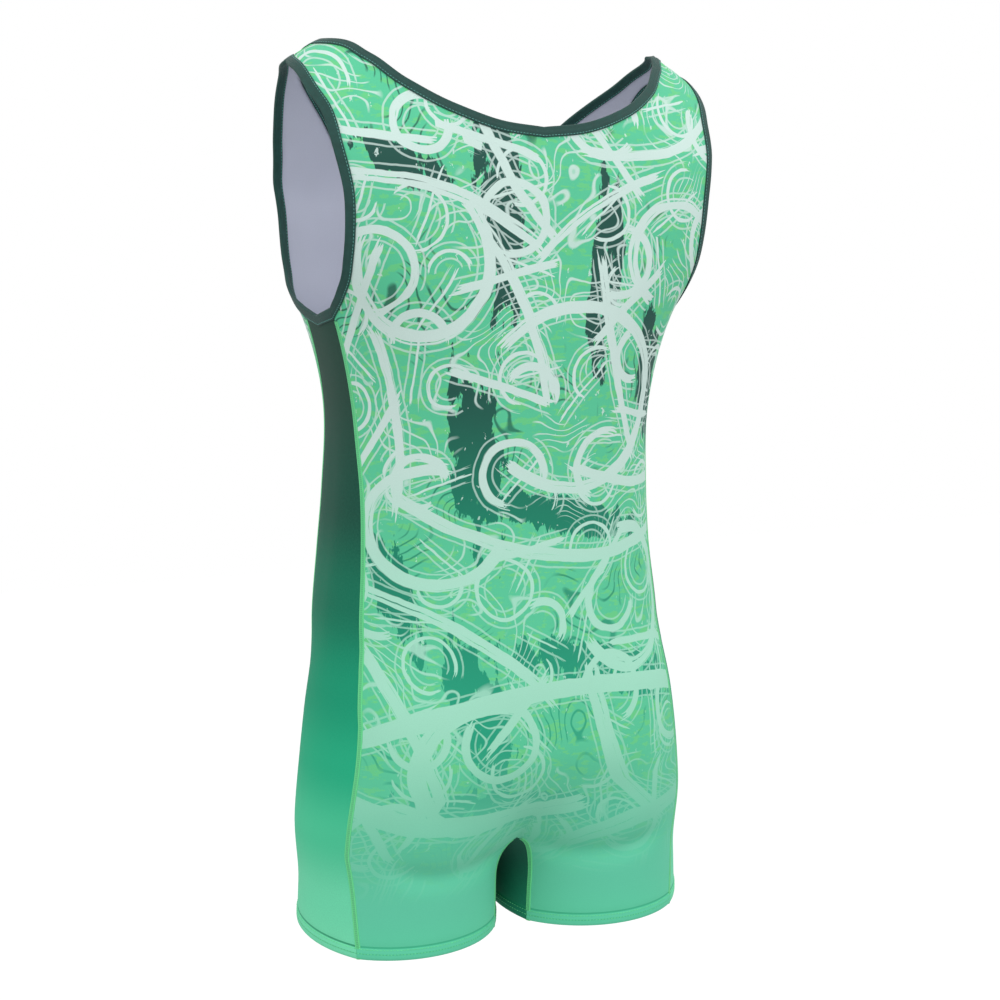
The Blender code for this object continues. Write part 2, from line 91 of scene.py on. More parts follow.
# facets: how many lie along each seam, hem and top, and the points of the lines they come from
SEAM_SPANS = 120
GUSSET_SPANS = 20
GUSSET_COLUMNS = 20
HEM_SPANS = 44
SIDE_SPANS = 20
TOP_SPANS = 8
FINE = 400
SHOULDER_FINE = 60

# finding points on the form: reach and halvings of a search, rounds of settling, least sizes
REACH = 0.3
HALVINGS = 26
NUDGE = 1e-4
SETTLE_ROUNDS = 14
LEVEL_ROUNDS = 28
SETTLE_SHARE = 0.85
LEAST_SLOPE = 0.05
LEAST_SIZE = 1e-12
CENTRED = 1e-9

# stitches: how far in from an edge or up from a hem their rows lie, and their lift off the cloth
BINDING_ROWS = (0.0046, 0.0068)
HEM_ROWS = (0.0058, 0.0100)
HEM_ROW_LIFT = 0.0007
HEM_ROW_SPANS = {"leg": 60, "side": 30, "gusset": 24}
STITCH_SHARE = 0.72
STITCH_REACH = 0.001

# flat seam: share of its width and lift off the cloth of each line of its section
SEAM_SECTION = ((-0.25, -0.0002), (-0.1, 0.0004), (0.15, 0.00045), (0.4, 0.00045),
                (0.65, 0.0004), (0.75, -0.0002))

# folded tape: distance in from the edge and rise of each line of its face; turns of its fold
TAPE_FACE = ((0.0082, -0.0004), (0.0080, -0.0001), (0.0072, 0.0001), (0.0064, -0.0001),
             (0.0050, 0.0003), (0.0035, 0.0003), (0.0022, -0.0001), (0.0012, 0.0001), (0.0, 0.0))
FOLD_TURNS = (75, 45, 15, -15, -45, -75)

# print: top and foot of the cloth, the heights it fades between, and spacing and width of the
# small rings and bars
CLOTH_SPAN = (0.0, -0.82)
PRINT_FADE = (-0.62, -0.765)
SMALL_RINGS = ((0.105, 0.0080), (0.082, 0.0040))
SMALL_BARS = ((0.120, 0.0075), (0.078, 0.0030))

# threads: spacing of the ribs of the tape and of the cover threads of a flat seam
RIB_PITCH = 0.0011
COVER_PITCH = 0.0017

# stage: the floor, the lights (place, size, share of the key's strength) and the camera
FLOOR_HEIGHT = -1.6
FLOOR_HALF = 6.0
LIGHTS = {"key_light": ((-1.6, 2.4, 1.5), 2.2, 1.0), "fill_light": ((2.4, 1.2, 0.6), 2.0, 0.45)}
LIGHT_AIM = (0.0, 0.0, -0.35)
ROOM_FADE = (-1.6, 0.9)
SENSOR = 36.0
CAMERA_PLACE = (0.6823, 1.4631, -0.1751)
CAMERA_TILT = 82.0
CAMERA_TURN = 155.0
CAMERA_SHIFT = 0.01

# trunk: height, half width, depth to the front, depth to the back, squareness of each
TRUNK = np.array([
    (0.02, 0.205, 0.083, 0.087, 2.8, 2.8),
    (-0.06, 0.207, 0.110, 0.104, 3.4, 3.4),
    (-0.13, 0.205, 0.126, 0.115, 3.7, 3.7),
    (-0.19, 0.193, 0.128, 0.116, 3.5, 3.4),
    (-0.245, 0.170, 0.122, 0.115, 2.8, 2.6),
    (-0.32, 0.154, 0.114, 0.109, 2.5, 2.2),
    (-0.40, 0.154, 0.112, 0.103, 2.8, 2.1),
    (-0.46, 0.160, 0.112, 0.104, 2.8, 2.0),
    (-0.52, 0.168, 0.106, 0.110, 2.6, 2.0),
    (-0.58, 0.171, 0.098, 0.117, 2.2, 2.1),
    (-0.64, 0.171, 0.093, 0.120, 2.1, 2.1),
    (-0.70, 0.168, 0.086, 0.112, 2.1, 2.1),
    (-0.77, 0.160, 0.078, 0.098, 2.1, 2.1),
])

# leg: height, distance of its middle from the centre, half width, front, back
LEG = np.array([
    (-0.56, 0.083, 0.073, 0.071, 0.080),
    (-0.64, 0.089, 0.086, 0.083, 0.096),
    (-0.70, 0.093, 0.092, 0.086, 0.095),
    (-0.76, 0.096, 0.093, 0.084, 0.091),
    (-0.82, 0.098, 0.094, 0.083, 0.089),
])

# height and distance from the centre of the axis that turns are measured about
AXIS = np.array([
    (0.02, 0.0),
    (-0.54, 0.0),
    (-0.60, 0.010),
    (-0.66, 0.045),
    (-0.72, 0.080),
    (-0.83, 0.090),
])

# shoulders and crotch: where they close the trunk, how round they are and how softly they join
NECK_X = 0.150
ROOF_SLOPE = 0.5
ROOF_RADIUS = 0.055
ROOF_SOFT = 0.020
CROTCH = -0.736
CROTCH_RADIUS = 0.120
CROTCH_SOFT = 0.050
LEG_TOP = -0.560
LEG_SOFT = 0.060
JOIN_SOFT = 0.040

# crease under each buttock: distance from the centre, height; and how the seat swells above it
CREASE = np.array([
    (0.020, -0.7370),
    (0.050, -0.7410),
    (0.090, -0.7420),
    (0.115, -0.7380),
    (0.150, -0.7290),
])
CREASE_REACH = (0.012, 0.040, 0.110, 0.150)
CREASE_BACK = 0.050
CREASE_DEPTH = 0.0050
CREASE_WIDTH = 0.010
SWELL = 0.0030
SWELL_RISE = 0.032
SWELL_WIDTH = 0.024

# necklines from the shoulder to the centre: turn in degrees, height
NECK_BACK = np.array([
    (90.0, -0.0060),
    (80.0, -0.0085),
    (68.0, -0.0220),
    (54.0, -0.0450),
    (38.0, -0.0650),
    (20.0, -0.0780),
    (0.0, -0.0825),
])
NECK_FRONT = np.array([
    (90.0, -0.0060),
    (79.0, -0.0165),
    (70.0, -0.0310),
    (61.5, -0.0460),
    (53.5, -0.0620),
    (46.5, -0.0790),
    (38.0, -0.1030),
    (28.0, -0.1250),
    (14.0, -0.1420),
    (0.0, -0.1470),
])

# armhole edges from the shoulder to the side panel: turn in degrees, height
ARM_BACK = np.array([
    (90.0, -0.0245),
    (80.5, -0.0370),
    (74.0, -0.0550),
    (68.0, -0.0780),
    (64.2, -0.1080),
    (62.2, -0.1400),
    (62.8, -0.1700),
    (65.8, -0.2020),
    (70.4, -0.2200),
    (76.5, -0.2350),
])
ARM_FRONT = np.array([
    (90.0, -0.0245),
    (78.0, -0.0350),
    (70.5, -0.0580),
    (65.0, -0.0830),
    (60.0, -0.1150),
    (57.5, -0.1550),
    (60.0, -0.1970),
    (67.0, -0.2190),
    (82.0, -0.2355),
])
ARM_FOOT_TURN = 88.0
ARM_FOOT = -0.2430

# side seams down to the leg hem: height, turn in degrees
SEAM_BACK = np.array([
    (-0.2350, 76.5),
    (-0.2850, 77.3),
    (-0.3400, 77.0),
    (-0.4000, 74.5),
    (-0.4600, 73.2),
    (-0.5200, 71.5),
    (-0.5800, 67.5),
    (-0.6400, 61.8),
    (-0.6900, 58.5),
    (-0.7350, 55.0),
    (-0.7750, 51.5),
    (-0.8145, 48.0),
])
SEAM_FRONT = np.array([
    (-0.2355, 82.0),
    (-0.3000, 79.0),
    (-0.3600, 75.0),
    (-0.4200, 73.0),
    (-0.4800, 74.0),
    (-0.5400, 76.0),
    (-0.6000, 76.0),
    (-0.6600, 73.0),
    (-0.7200, 70.0),
    (-0.7600, 69.0),
    (-0.7995, 68.0),
])

# gusset seam from the crotch to the leg hem: distance from the centre, depth, share of the drop
GUSSET = np.array([
    (0.0, 0.060, 0.0),
    (0.009, 0.058, 0.09),
    (0.0145, 0.052, 0.35),
    (0.016, 0.048, 0.70),
    (0.017, 0.046, 1.0),
])
CROTCH_SEAM = -0.728
HEM_BACK = SEAM_BACK[-1, 0]
HEM_FRONT = SEAM_FRONT[-1, 0]

# places on the cloth that tell which side of an edge a panel lies on
NECK_INSIDE = np.array([0.125, 0.080, -0.110])
ARM_INSIDE = np.array([0.080, 0.110, -0.140])
RIDGE_INSIDE = np.array([0.170, 0.050, -0.030])
SEAM_INSIDE = np.array([0.080, 0.110, -0.500])
GUSSET_INSIDE = np.array([0.090, 0.100, -0.760])
SIDE_INSIDE = np.array([0.160, 0.000, -0.500])
GUSSET_MIDDLE = np.array([0.010, 0.000, -0.740])
OTHER_SIDE = np.array([-1.0, 1.0, 1.0])


def through(rows, column, at):
    """Smooth value of a table column at the heights asked for."""
    heights, values = rows[::-1, 0], rows[::-1, column]
    slopes = np.gradient(values, heights)
    at = np.clip(at, heights[0], heights[-1])
    i = np.clip(np.searchsorted(heights, at) - 1, 0, len(heights) - 2)
    step = heights[i + 1] - heights[i]
    t = (at - heights[i]) / step
    rise = (3 - 2 * t) * t * t
    enter = (t - 1) ** 2 * t * step * slopes[i]
    leave = (t - 1) * t * t * step * slopes[i + 1]
    return values[i] * (1 - rise) + values[i + 1] * rise + enter + leave


def soft_max(a, b, width):
    """The larger of two distances, rounded where they meet."""
    near = np.maximum(width - np.abs(a - b), 0.0) / width
    return np.maximum(a, b) + near * near * width / 4


def seat_fold(x, y, z):
    """How far the cloth is drawn in under each buttock, less what it is let out above."""
    rise = z - np.interp(x, CREASE[:, 0], CREASE[:, 1])
    share = np.interp(x, CREASE_REACH, (0.0, 1.0, 1.0, 0.0))
    share = share * share * (3 - 2 * share) * np.clip(y / CREASE_BACK, 0.0, 1.0)
    groove = CREASE_DEPTH * np.exp(-((rise / CREASE_WIDTH) ** 2))
    swell = SWELL * np.exp(-(((rise - SWELL_RISE) / SWELL_WIDTH) ** 2))
    return share * (groove - swell)


def form(points):
    """Distance outside the figure, near enough: negative inside it."""
    x, y, z = np.abs(points[..., 0]), points[..., 1], points[..., 2]
    half, front, back = (through(TRUNK, column, z) for column in (1, 2, 3))
    deep = np.where(y > 0, back, front)
    power = np.where(y > 0, through(TRUNK, 5, z), through(TRUNK, 4, z))
    ring = ((x / half) ** power + (np.abs(y) / deep) ** power) ** (1 / power)
    tube = (ring - 1) * (front + back) / 2
    roof = z + ROOF_SLOPE * (x - NECK_X) + y * y / (2 * ROOF_RADIUS)
    floor = CROTCH + y * y / (2 * CROTCH_RADIUS) - z
    trunk = soft_max(soft_max(tube, roof, ROOF_SOFT), floor, CROTCH_SOFT)
    middle, half, front, back = (through(LEG, column, z) for column in (1, 2, 3, 4))
    ring = np.hypot((x - middle) / half, y / np.where(y > 0, back, front))
    leg = (ring - 1) * (front + back) / 2
    leg = soft_max(leg, z - LEG_TOP, LEG_SOFT)
    return -soft_max(-trunk, -leg, JOIN_SOFT) + seat_fold(x, y, z)


def gradient(points):
    """Steepest way out of the figure at each point."""
    slope = np.empty_like(points)
    for axis in range(3):
        shift = np.zeros(3)
        shift[axis] = NUDGE
        slope[..., axis] = (form(points + shift) - form(points - shift)) / (2 * NUDGE)
    return slope


def settle(points, level=False):
    """Bring points onto the form by the shortest way, or without a change of height."""
    points = np.array(points, float)
    centred = np.abs(points[..., 0]) < CENTRED
    for _ in range(LEVEL_ROUNDS if level else SETTLE_ROUNDS):
        slope = gradient(points)
        slope[..., 0] = np.where(centred, 0.0, slope[..., 0])
        if level:
            slope[..., 2] = 0.0
        size = np.maximum((slope * slope).sum(-1), LEAST_SLOPE)
        points = points - SETTLE_SHARE * form(points)[..., None] * slope / size[..., None]
    return points


def normals(points):
    """Directions square to the cloth, outwards, one for each point."""
    slope = gradient(points)
    slope[..., 0] = np.where(np.abs(points[..., 0]) < CENTRED, 0.0, slope[..., 0])
    return slope / np.linalg.norm(slope, axis=-1)[..., None]


def axis_at(heights):
    """Distance from the centre of the axis that turns are measured about."""
    return np.interp(-heights, -AXIS[:, 0], AXIS[:, 1])


def on_form(turns, heights, way, past=0.0):
    """Points on the form at turns (degrees) and heights; way is 1 at the back, -1 in front.

    A line that would cross the centre ends there, or a little past it where that is asked.
    """
    turns = np.radians(np.asarray(turns, float))
    heights = np.asarray(heights, float)
    middle = axis_at(heights)
    across, along = np.sin(turns), way * np.cos(turns)
    to_centre = np.where(across < 0, (middle + past) / np.maximum(-across, CENTRED), REACH)
    near, far = np.zeros_like(turns), np.minimum(to_centre, REACH)
    for _ in range(HALVINGS):
        half = (near + far) / 2
        point = np.stack([middle + across * half, along * half, heights], -1)
        inside = form(point) < 0
        near, far = np.where(inside, half, near), np.where(inside, far, half)
    half = (near + far) / 2
    return np.stack([middle + across * half, along * half, heights], -1)


def turn_of(points, way):
    """Turn of each point about the axis, in radians."""
    return np.arctan2(points[..., 0] - axis_at(points[..., 2]), way * points[..., 1])


def flat(points, way):
    """Place of points in the plane of turns and heights that the facets are laid out in."""
    return np.stack([turn_of(points, way) * PLANE_RADIUS, points[:, 2]], -1)


class Pattern:
    """Flat place of the cloth: metres round the figure from the centre line, and height.

    It is measured at TURNS and HEIGHTS. PAST is how far over the centre line a turn may reach,
    and below LEGS there is no centre line to measure from. LAST keeps a place in the last cell.
    """

    TURNS = np.radians(np.arange(-76.0, 130.0, 2.0))
    HEIGHTS = np.arange(0.012, -0.83, -0.006)
    PAST = 0.010
    LEGS = -0.670
    LAST = 1.001

    def __init__(self, way):
        self.way = way
        turns, heights = np.meshgrid(self.TURNS, self.HEIGHTS, indexing="ij")
        grid = on_form(np.degrees(turns), heights, way, self.PAST)
        steps = np.linalg.norm(np.diff(grid, axis=0), axis=-1)
        self.runs = np.concatenate([np.zeros((1, len(self.HEIGHTS))), np.cumsum(steps, axis=0)])
        self.runs -= self.runs[np.abs(self.TURNS).argmin()]
        centre = np.array([np.interp(0.0, across, runs)
                           for across, runs in zip(grid[..., 0].T, self.runs.T)])
        # over the legs, which have no centre line, the cloth keeps the place it has above them
        legs = self.HEIGHTS < self.LEGS
        centre[legs] = centre[~legs][-1]
        self.runs -= centre

    def place(self, points):
        """Flat coordinates of points of the left half."""
        t = (turn_of(points, self.way) - self.TURNS[0]) / (self.TURNS[1] - self.TURNS[0])
        h = (points[:, 2] - self.HEIGHTS[0]) / (self.HEIGHTS[1] - self.HEIGHTS[0])
        t = np.clip(t, 0, len(self.TURNS) - self.LAST)
        h = np.clip(h, 0, len(self.HEIGHTS) - self.LAST)
        i, j = t.astype(int), h.astype(int)
        a, b = t - i, h - j
        upper = self.runs[i, j] * (1 - a) + self.runs[i + 1, j] * a
        lower = self.runs[i, j + 1] * (1 - a) + self.runs[i + 1, j + 1] * a
        return np.stack([upper * (1 - b) + lower * b, points[:, 2]], -1)


def measure(line):
    """Distance of each point of a line from its start."""
    return np.concatenate([[0.0], np.cumsum(np.linalg.norm(np.diff(line, axis=0), axis=1))])


def rounded(rows):
    """Smooth run through the rows of a table, each column on its own."""
    at = measure(rows / np.ptp(rows, axis=0).clip(CENTRED))
    fine = np.linspace(0.0, at[-1], FINE)
    return np.stack([through(np.stack([at, column], -1)[::-1], 1, fine) for column in rows.T], -1)


def points_at(wanted, line):
    """Points at the distances asked for along a line."""
    lengths = measure(line)
    return np.stack([np.interp(wanted, lengths, line[:, k]) for k in range(3)], -1)


def stations(line, first=(), last=(), count=None):
    """Points along a fine line: its ends, marks near either end, and even ones between.

    The marks are distances from the start (first) and from the end (last), nearest first.
    """
    total = measure(line)[-1]
    start = first[-1] if first else 0.0
    end = total - (last[-1] if last else 0.0)
    spans = count or max(1, round((end - start) / STATION))
    wanted = [0.0, *first[:-1]] if first else []
    wanted += list(np.linspace(start, end, spans + 1))
    if last:
        wanted += [total - mark for mark in reversed(last[:-1])] + [total]
    return points_at(wanted, line)


def inward(edge, inside):
    """Direction in the cloth, square to an edge, on the side of the point inside."""
    along = np.gradient(edge, axis=0)
    across = np.cross(along, normals(edge))
    across /= np.linalg.norm(across, axis=1)[:, None]
    toward = ((inside - edge[len(edge) // 2]) * across[len(edge) // 2]).sum()
    return across if toward > 0 else -across


def strip(edge, inside, distance, start=None, end=None):
    """Line laid a distance in from an edge, with its two ends given where they matter."""
    line = settle(edge + inward(edge, inside) * distance)
    if start is not None:
        lengths = measure(edge)
        near_start = np.clip(1 - lengths / BEND, 0.0, 1.0)[:, None] ** 2
        near_end = np.clip(1 - (lengths[-1] - lengths) / BEND, 0.0, 1.0)[:, None] ** 2
        line = settle(line + (start - line[0]) * near_start + (end - line[-1]) * near_end)
        line[0], line[-1] = start, end
    return line


class Panel:
    """One cut piece: points on the form, joined into facets, then given its two sides."""

    def __init__(self, way):
        self.way = way
        self.points = []
        self.shift = []
        self.lift = []
        self.thick = []
        self.above = []
        self.faces = []

    def add(self, points):
        """Add points of the form, and give their numbers."""
        first = len(self.points)
        for point in points:
            self.points.append(np.array(point))
            self.shift.append(np.zeros(3))
            self.lift.append(0.0)
            self.thick.append(0.0)
            self.above.append(PAST_HEM)
        return list(range(first, first + len(points)))

    def band(self, outer, inner):
        """Facets between two rows of as many points."""
        for k in range(len(outer) - 1):
            self.faces.append((outer[k], inner[k + 1], outer[k + 1]))
            self.faces.append((outer[k], inner[k], inner[k + 1]))

    def hem(self, rows):
        """Turned hem: rows of points from the edge up, thicker and a little proud."""
        for outer, inner in zip(rows, rows[1:]):
            self.band(outer, inner)
        self.turn_up(rows, HEM_TURN / 2)
        for k in rows[-1]:
            self.thick[k] = 0.0

    def turn_up(self, rows, least):
        """Lift, thickness and height over the hem edge of the rows of a hem."""
        for row, lift, mark in zip(rows, HEM_LIFTS, (0.0, *HEM_MARKS)):
            for k in row:
                self.lift[k] = lift
                self.thick[k] = HEM_TURN if lift > 0 else least
                self.above[k] = mark

    def set_back(self, indices, inside):
        """Draw an edge in by half a seam gap, towards the point inside."""
        edge = np.array([self.points[k] for k in indices])
        moves = inward(edge, inside) * SEAM_GAP / 2
        for k, move in zip(indices, moves):
            if abs(self.points[k][0]) < CENTRED:
                move = move * np.array([0.0, 1.0, 1.0])
            self.shift[k] = self.shift[k] + move

    def fill(self, loop):
        """Facets inside a loop of points, over an even spread of points between them."""
        border = flat(np.array([self.points[k] for k in loop]), self.way)
        low, high = border.min(axis=0), border.max(axis=0)
        rise = LATTICE * math.sqrt(0.75)
        spread = []
        for row in range(1, int((high[1] - low[1]) / rise) + 1):
            offset = LATTICE / 2 if row % 2 else 0.0
            height = high[1] - row * rise
            for column in range(int((high[0] - low[0]) / LATTICE) + 2):
                spread.append((low[0] + offset + column * LATTICE, height))
        spread = np.array(spread)
        ends = np.roll(border, -1, axis=0)
        spread = spread[inside_loop(spread, border, ends)]
        spread = spread[clear_of(spread, border, ends) > CLEARANCE]
        solid = on_form(np.degrees(spread[:, 0] / PLANE_RADIUS), spread[:, 1], self.way)
        indices = list(loop) + self.add(solid)
        places = [Vector(p) for p in np.concatenate([border, spread])]
        ring = [(k, (k + 1) % len(loop)) for k in range(len(loop))]
        found = delaunay_2d_cdt(places, ring, [], 1, MEETING)
        sources = [min(group) for group in found[3]]
        for face in found[2]:
            self.faces.append(tuple(indices[sources[k]] for k in face))

    def mirrored(self):
        """This half and its mirror image, joined on the centre line."""
        count = len(self.points)
        middle = [abs(p[0]) < CENTRED for p in self.points]
        other = list(range(count))
        for k in range(count):
            if not middle[k]:
                other[k] = len(self.points)
                self.points.append(self.points[k] * OTHER_SIDE)
                self.shift.append(self.shift[k] * OTHER_SIDE)
                self.lift.append(self.lift[k])
                self.thick.append(self.thick[k])
                self.above.append(self.above[k])
        self.faces += [tuple(other[k] for k in reversed(face)) for face in self.faces]
        return self

    def on_left(self):
        """The points brought to the left half, where the flat pattern is measured."""
        points = np.array(self.points)
        points[:, 0] = np.abs(points[:, 0])
        return points

    def sheet(self, pattern):
        """Points, facets and flat places of the outer side, the lining side and the edge."""
        points = np.array(self.points)
        out = normals(points)
        points = points + np.array(self.shift)
        outer = points + out * (WALL / 2 + np.array(self.lift)[:, None])
        inner = points - out * (WALL / 2 + np.array(self.thick)[:, None])
        places = pattern.place(self.on_left())
        places[:, 0] *= np.where(np.array(self.points)[:, 0] < 0, -1.0, 1.0)
        count = len(points)
        uses = {}
        for face in self.faces:
            for k in range(3):
                edge = (face[k], face[(k + 1) % 3])
                uses.setdefault(tuple(sorted(edge)), []).append(edge)
        faces = list(self.faces)
        faces += [tuple(k + count for k in reversed(face)) for face in self.faces]
        linings = [0] * len(self.faces) + [1] * len(self.faces)
        for start, end in (sides[0] for sides in uses.values() if len(sides) == 1):
            faces.append((end, start, start + count))
            faces.append((end, start + count, end + count))
            linings += [0, 0]
        return (np.concatenate([outer, inner]), faces, linings,
                np.concatenate([places, places]), self.above * 2)


def inside_loop(places, border, ends):
    """Which places lie inside a closed loop."""
    crossed = np.zeros(len(places), int)
    for (ax, ay), (bx, by) in zip(border, ends):
        spans = (ay > places[:, 1]) != (by > places[:, 1])
        rise = by - ay if by != ay else 1.0
        cut = ax + (places[:, 1] - ay) * (bx - ax) / rise
        crossed += spans & (places[:, 0] < cut)
    return crossed % 2 == 1


def clear_of(places, border, ends):
    """Distance of each place from the nearest side of a loop."""
    run = ends - border
    size = np.maximum((run * run).sum(-1), LEAST_SIZE)
    nearest = np.full(len(places), 1.0)
    for start, side, square in zip(border, run, size):
        away = places - start
        t = np.clip((away * side).sum(-1) / square, 0.0, 1.0)
        nearest = np.minimum(nearest, np.linalg.norm(away - t[:, None] * side, axis=-1))
    return nearest


def side_seam(way):
    """Stations of a side seam from the armhole down to the hem."""
    rows = rounded(SEAM_BACK if way > 0 else SEAM_FRONT)
    line = on_form(rows[:, 1], rows[:, 0], way)
    return stations(line, (SEAM_MARK,), HEM_MARKS, SEAM_SPANS)


def gusset_seam(way):
    """Stations of a gusset seam from the crotch down to the hem."""
    line = rounded(GUSSET) * np.array([1.0, way, 1.0])
    line[:, 2] = CROTCH_SEAM + line[:, 2] * ((HEM_BACK if way > 0 else HEM_FRONT) - CROTCH_SEAM)
    return stations(settle(line), (), HEM_MARKS, GUSSET_SPANS)


def across_leg(start, end, way, count):
    """Stations level round a leg between two points of the form."""
    turns = np.linspace(*turn_of(np.array([start, end]), way), count + 1)
    heights = np.linspace(start[2], end[2], count + 1)
    line = on_form(np.degrees(turns), heights, way)
    line[0], line[-1] = start, end
    return line


def neckline(way):
    """Stations of the left half of a neckline, from the centre to the shoulder."""
    rows = rounded(NECK_BACK if way > 0 else NECK_FRONT)
    line = stations(on_form(rows[:, 0], rows[:, 1], way)[::-1])
    line[0, 0] = 0.0
    line[-1, 1] = 0.0
    return line


def armhole(way):
    """Stations of an armhole edge, from the shoulder to the side panel."""
    rows = rounded(ARM_BACK if way > 0 else ARM_FRONT)
    line = stations(on_form(rows[:, 0], rows[:, 1], way))
    line[0, 1] = 0.0
    return line


def shoulder_seam():
    """Stations over the shoulder, from the neckline to the armhole."""
    line = settle(np.linspace(neckline(1)[-1], armhole(1)[0], SHOULDER_FINE))
    return stations(line, (BINDING_WIDTH,), (BINDING_WIDTH,))


def half_panel(way):
    """Left half of the back (way 1) or of the front (way -1), with its bound edges."""
    facing = np.array([1.0, way, 1.0])
    neck, arm, ridge = neckline(way), armhole(way), shoulder_seam()
    seam, gusset = side_seam(way), gusset_seam(way)
    centre = settle(np.linspace(neck[0], gusset[0], FINE), level=True)
    centre = stations(centre, (BINDING_WIDTH,))

    panel = Panel(way)
    neck_in = strip(neck, NECK_INSIDE * facing, BINDING_WIDTH, centre[1], ridge[1])
    arm_in = strip(arm, ARM_INSIDE * facing, BINDING_WIDTH, ridge[-2], seam[1])
    rows = range(1, len(HEM_MARKS) + 2)
    hems = [across_leg(seam[-k], gusset[-k], way, HEM_SPANS) for k in rows]
    at_neck, at_neck_in = panel.add(neck), panel.add(neck_in)
    at_arm, at_arm_in = panel.add(arm), panel.add(arm_in)
    at_hem = [panel.add(hem) for hem in hems]
    at_ridge = panel.add(ridge[2:-2])
    at_seam = panel.add(seam[2:-len(rows)])
    at_gusset = panel.add(gusset[:-len(rows)])
    at_centre = panel.add(centre[2:-1])

    panel.band(at_neck, at_neck_in)
    panel.band(at_arm, at_arm_in)
    panel.hem(at_hem)
    panel.fill(at_neck_in + at_ridge + at_arm_in + at_seam + at_hem[-1]
               + at_gusset[::-1] + at_centre[::-1])
    panel.set_back([at_neck[-1], at_neck_in[-1]] + at_ridge + [at_arm_in[0], at_arm[0]],
                   RIDGE_INSIDE * facing)
    panel.set_back([at_arm[-1], at_arm_in[-1]] + at_seam + [row[0] for row in at_hem[::-1]],
                   SEAM_INSIDE * facing)
    panel.set_back(at_gusset + [row[-1] for row in at_hem[::-1]], GUSSET_INSIDE * facing)
    return panel, (neck, neck_in), (arm, arm_in)


def side_panel():
    """Left side panel, from the foot of the armhole to the hem."""
    back, front = side_seam(1), side_seam(-1)
    lines = []
    for k, drop in ((0, 0.0), (1, BINDING_WIDTH)):
        middle = on_form([ARM_FOOT_TURN], [ARM_FOOT - drop], 1)[0]
        line = settle(np.concatenate([np.linspace(back[k], middle, TOP_SPANS + 1),
                                      np.linspace(middle, front[k], TOP_SPANS + 1)[1:]]))
        line[0], line[-1] = back[k], front[k]
        lines.append(line)
    top, top_in = lines
    panel = Panel(1)
    rows = range(1, len(HEM_MARKS) + 2)
    hems = [across_leg(front[-k], back[-k], 1, SIDE_SPANS) for k in rows]
    at_top, at_top_in = panel.add(top), panel.add(top_in)
    at_hem = [panel.add(hem) for hem in hems]
    at_front, at_back = panel.add(front[2:-len(rows)]), panel.add(back[2:-len(rows)])
    panel.band(at_top, at_top_in)
    panel.hem(at_hem)
    panel.fill(at_top_in + at_front + at_hem[-1] + at_back[::-1])
    panel.set_back([at_top[0], at_top_in[0]] + at_back + [row[-1] for row in at_hem[::-1]],
                   SIDE_INSIDE)
    panel.set_back([at_top[-1], at_top_in[-1]] + at_front + [row[0] for row in at_hem[::-1]],
                   SIDE_INSIDE)
    return panel, (top, top_in)


def gusset_half():
    """Left half of the gusset, from the centre of the crotch down the inside of the leg."""
    panel = Panel(1)
    rows = []
    for start, end in zip(gusset_seam(1), gusset_seam(-1)):
        line = settle(np.linspace(start, end, GUSSET_COLUMNS + 1))
        line[0], line[-1] = start, end
        rows.append(panel.add(line))
    for upper, lower in zip(rows, rows[1:]):
        panel.band(upper, lower)
    panel.turn_up(rows[:-len(HEM_MARKS) - 2:-1], 0.0)
    for column in (0, -1):
        panel.set_back([row[column] for row in rows], GUSSET_MIDDLE)
    return panel


def tone(red, green, blue):
    """Colour as it looks on a screen, 0 to 255, in the shader's own scale."""
    shares = (value / 255 for value in (red, green, blue))
    return tuple(s / 12.92 if s <= 0.04045 else ((s + 0.055) / 1.055) ** 2.4 for s in shares)


def colour_setting(name, about, value):
    """A colour that a user may change."""
    return FloatVectorProperty(name=name, description=about, subtype="COLOR", size=3,
                               min=0.0, max=1.0, default=value)


class SingletCloth(bpy.types.PropertyGroup):
    """Colours of the cloth, from the top of the garment to the hems"""
    mint: colour_setting("Mint", "Ground of the print", tone(92, 208, 160))
    mottle: colour_setting("Mottle", "Yellower green broken into the ground", tone(108, 214, 142))
    plain: colour_setting("Plain mint", "Cloth of the legs, below the print", tone(100, 210, 172))
    pale: colour_setting("Pale strokes", "Brush strokes of the print", tone(214, 238, 231))
    pale_low: colour_setting("Low strokes", "Brush strokes low on the seat", tone(158, 228, 198))
    dark: colour_setting("Dark strokes", "Darkest strokes, at the shoulders", tone(28, 82, 72))
    dark_mid: colour_setting("Middle strokes", "Dark strokes at the waist", tone(18, 138, 108))
    lining: colour_setting("Lining side", "Inside of the cloth", tone(208, 212, 228))
    side_top: colour_setting("Side, top", "Side panel under the arm", tone(40, 72, 62))
    side_low: colour_setting("Side, hem", "Side panel at the hem", tone(126, 236, 188))
    gusset: colour_setting("Gusset", "Inner-leg panel", tone(30, 104, 86))
    tape: colour_setting("Binding", "Tape round the neck and the armholes", tone(26, 66, 60))


class SingletThread(bpy.types.PropertyGroup):
    """Stitches and the threads they are made in"""
    seam: colour_setting("Seam thread", "Flat seams and hems", tone(112, 240, 158))
    tape: colour_setting("Binding thread", "Rows along the bindings", tone(104, 184, 172))
    pitch: FloatProperty(name="Stitch pitch", description="Length of one stitch with its gap",
                         default=0.0030, min=0.001, max=0.01, unit="LENGTH", precision=4)
    thickness: FloatProperty(name="Thread", description="Thickness of a stitch",
                             default=0.0006, min=0.0002, max=0.002, unit="LENGTH", precision=4)
    seam_width: FloatProperty(name="Flat seam width", description="Width of a flat seam",
                              default=0.0052, min=0.002, max=0.01, unit="LENGTH", precision=4)


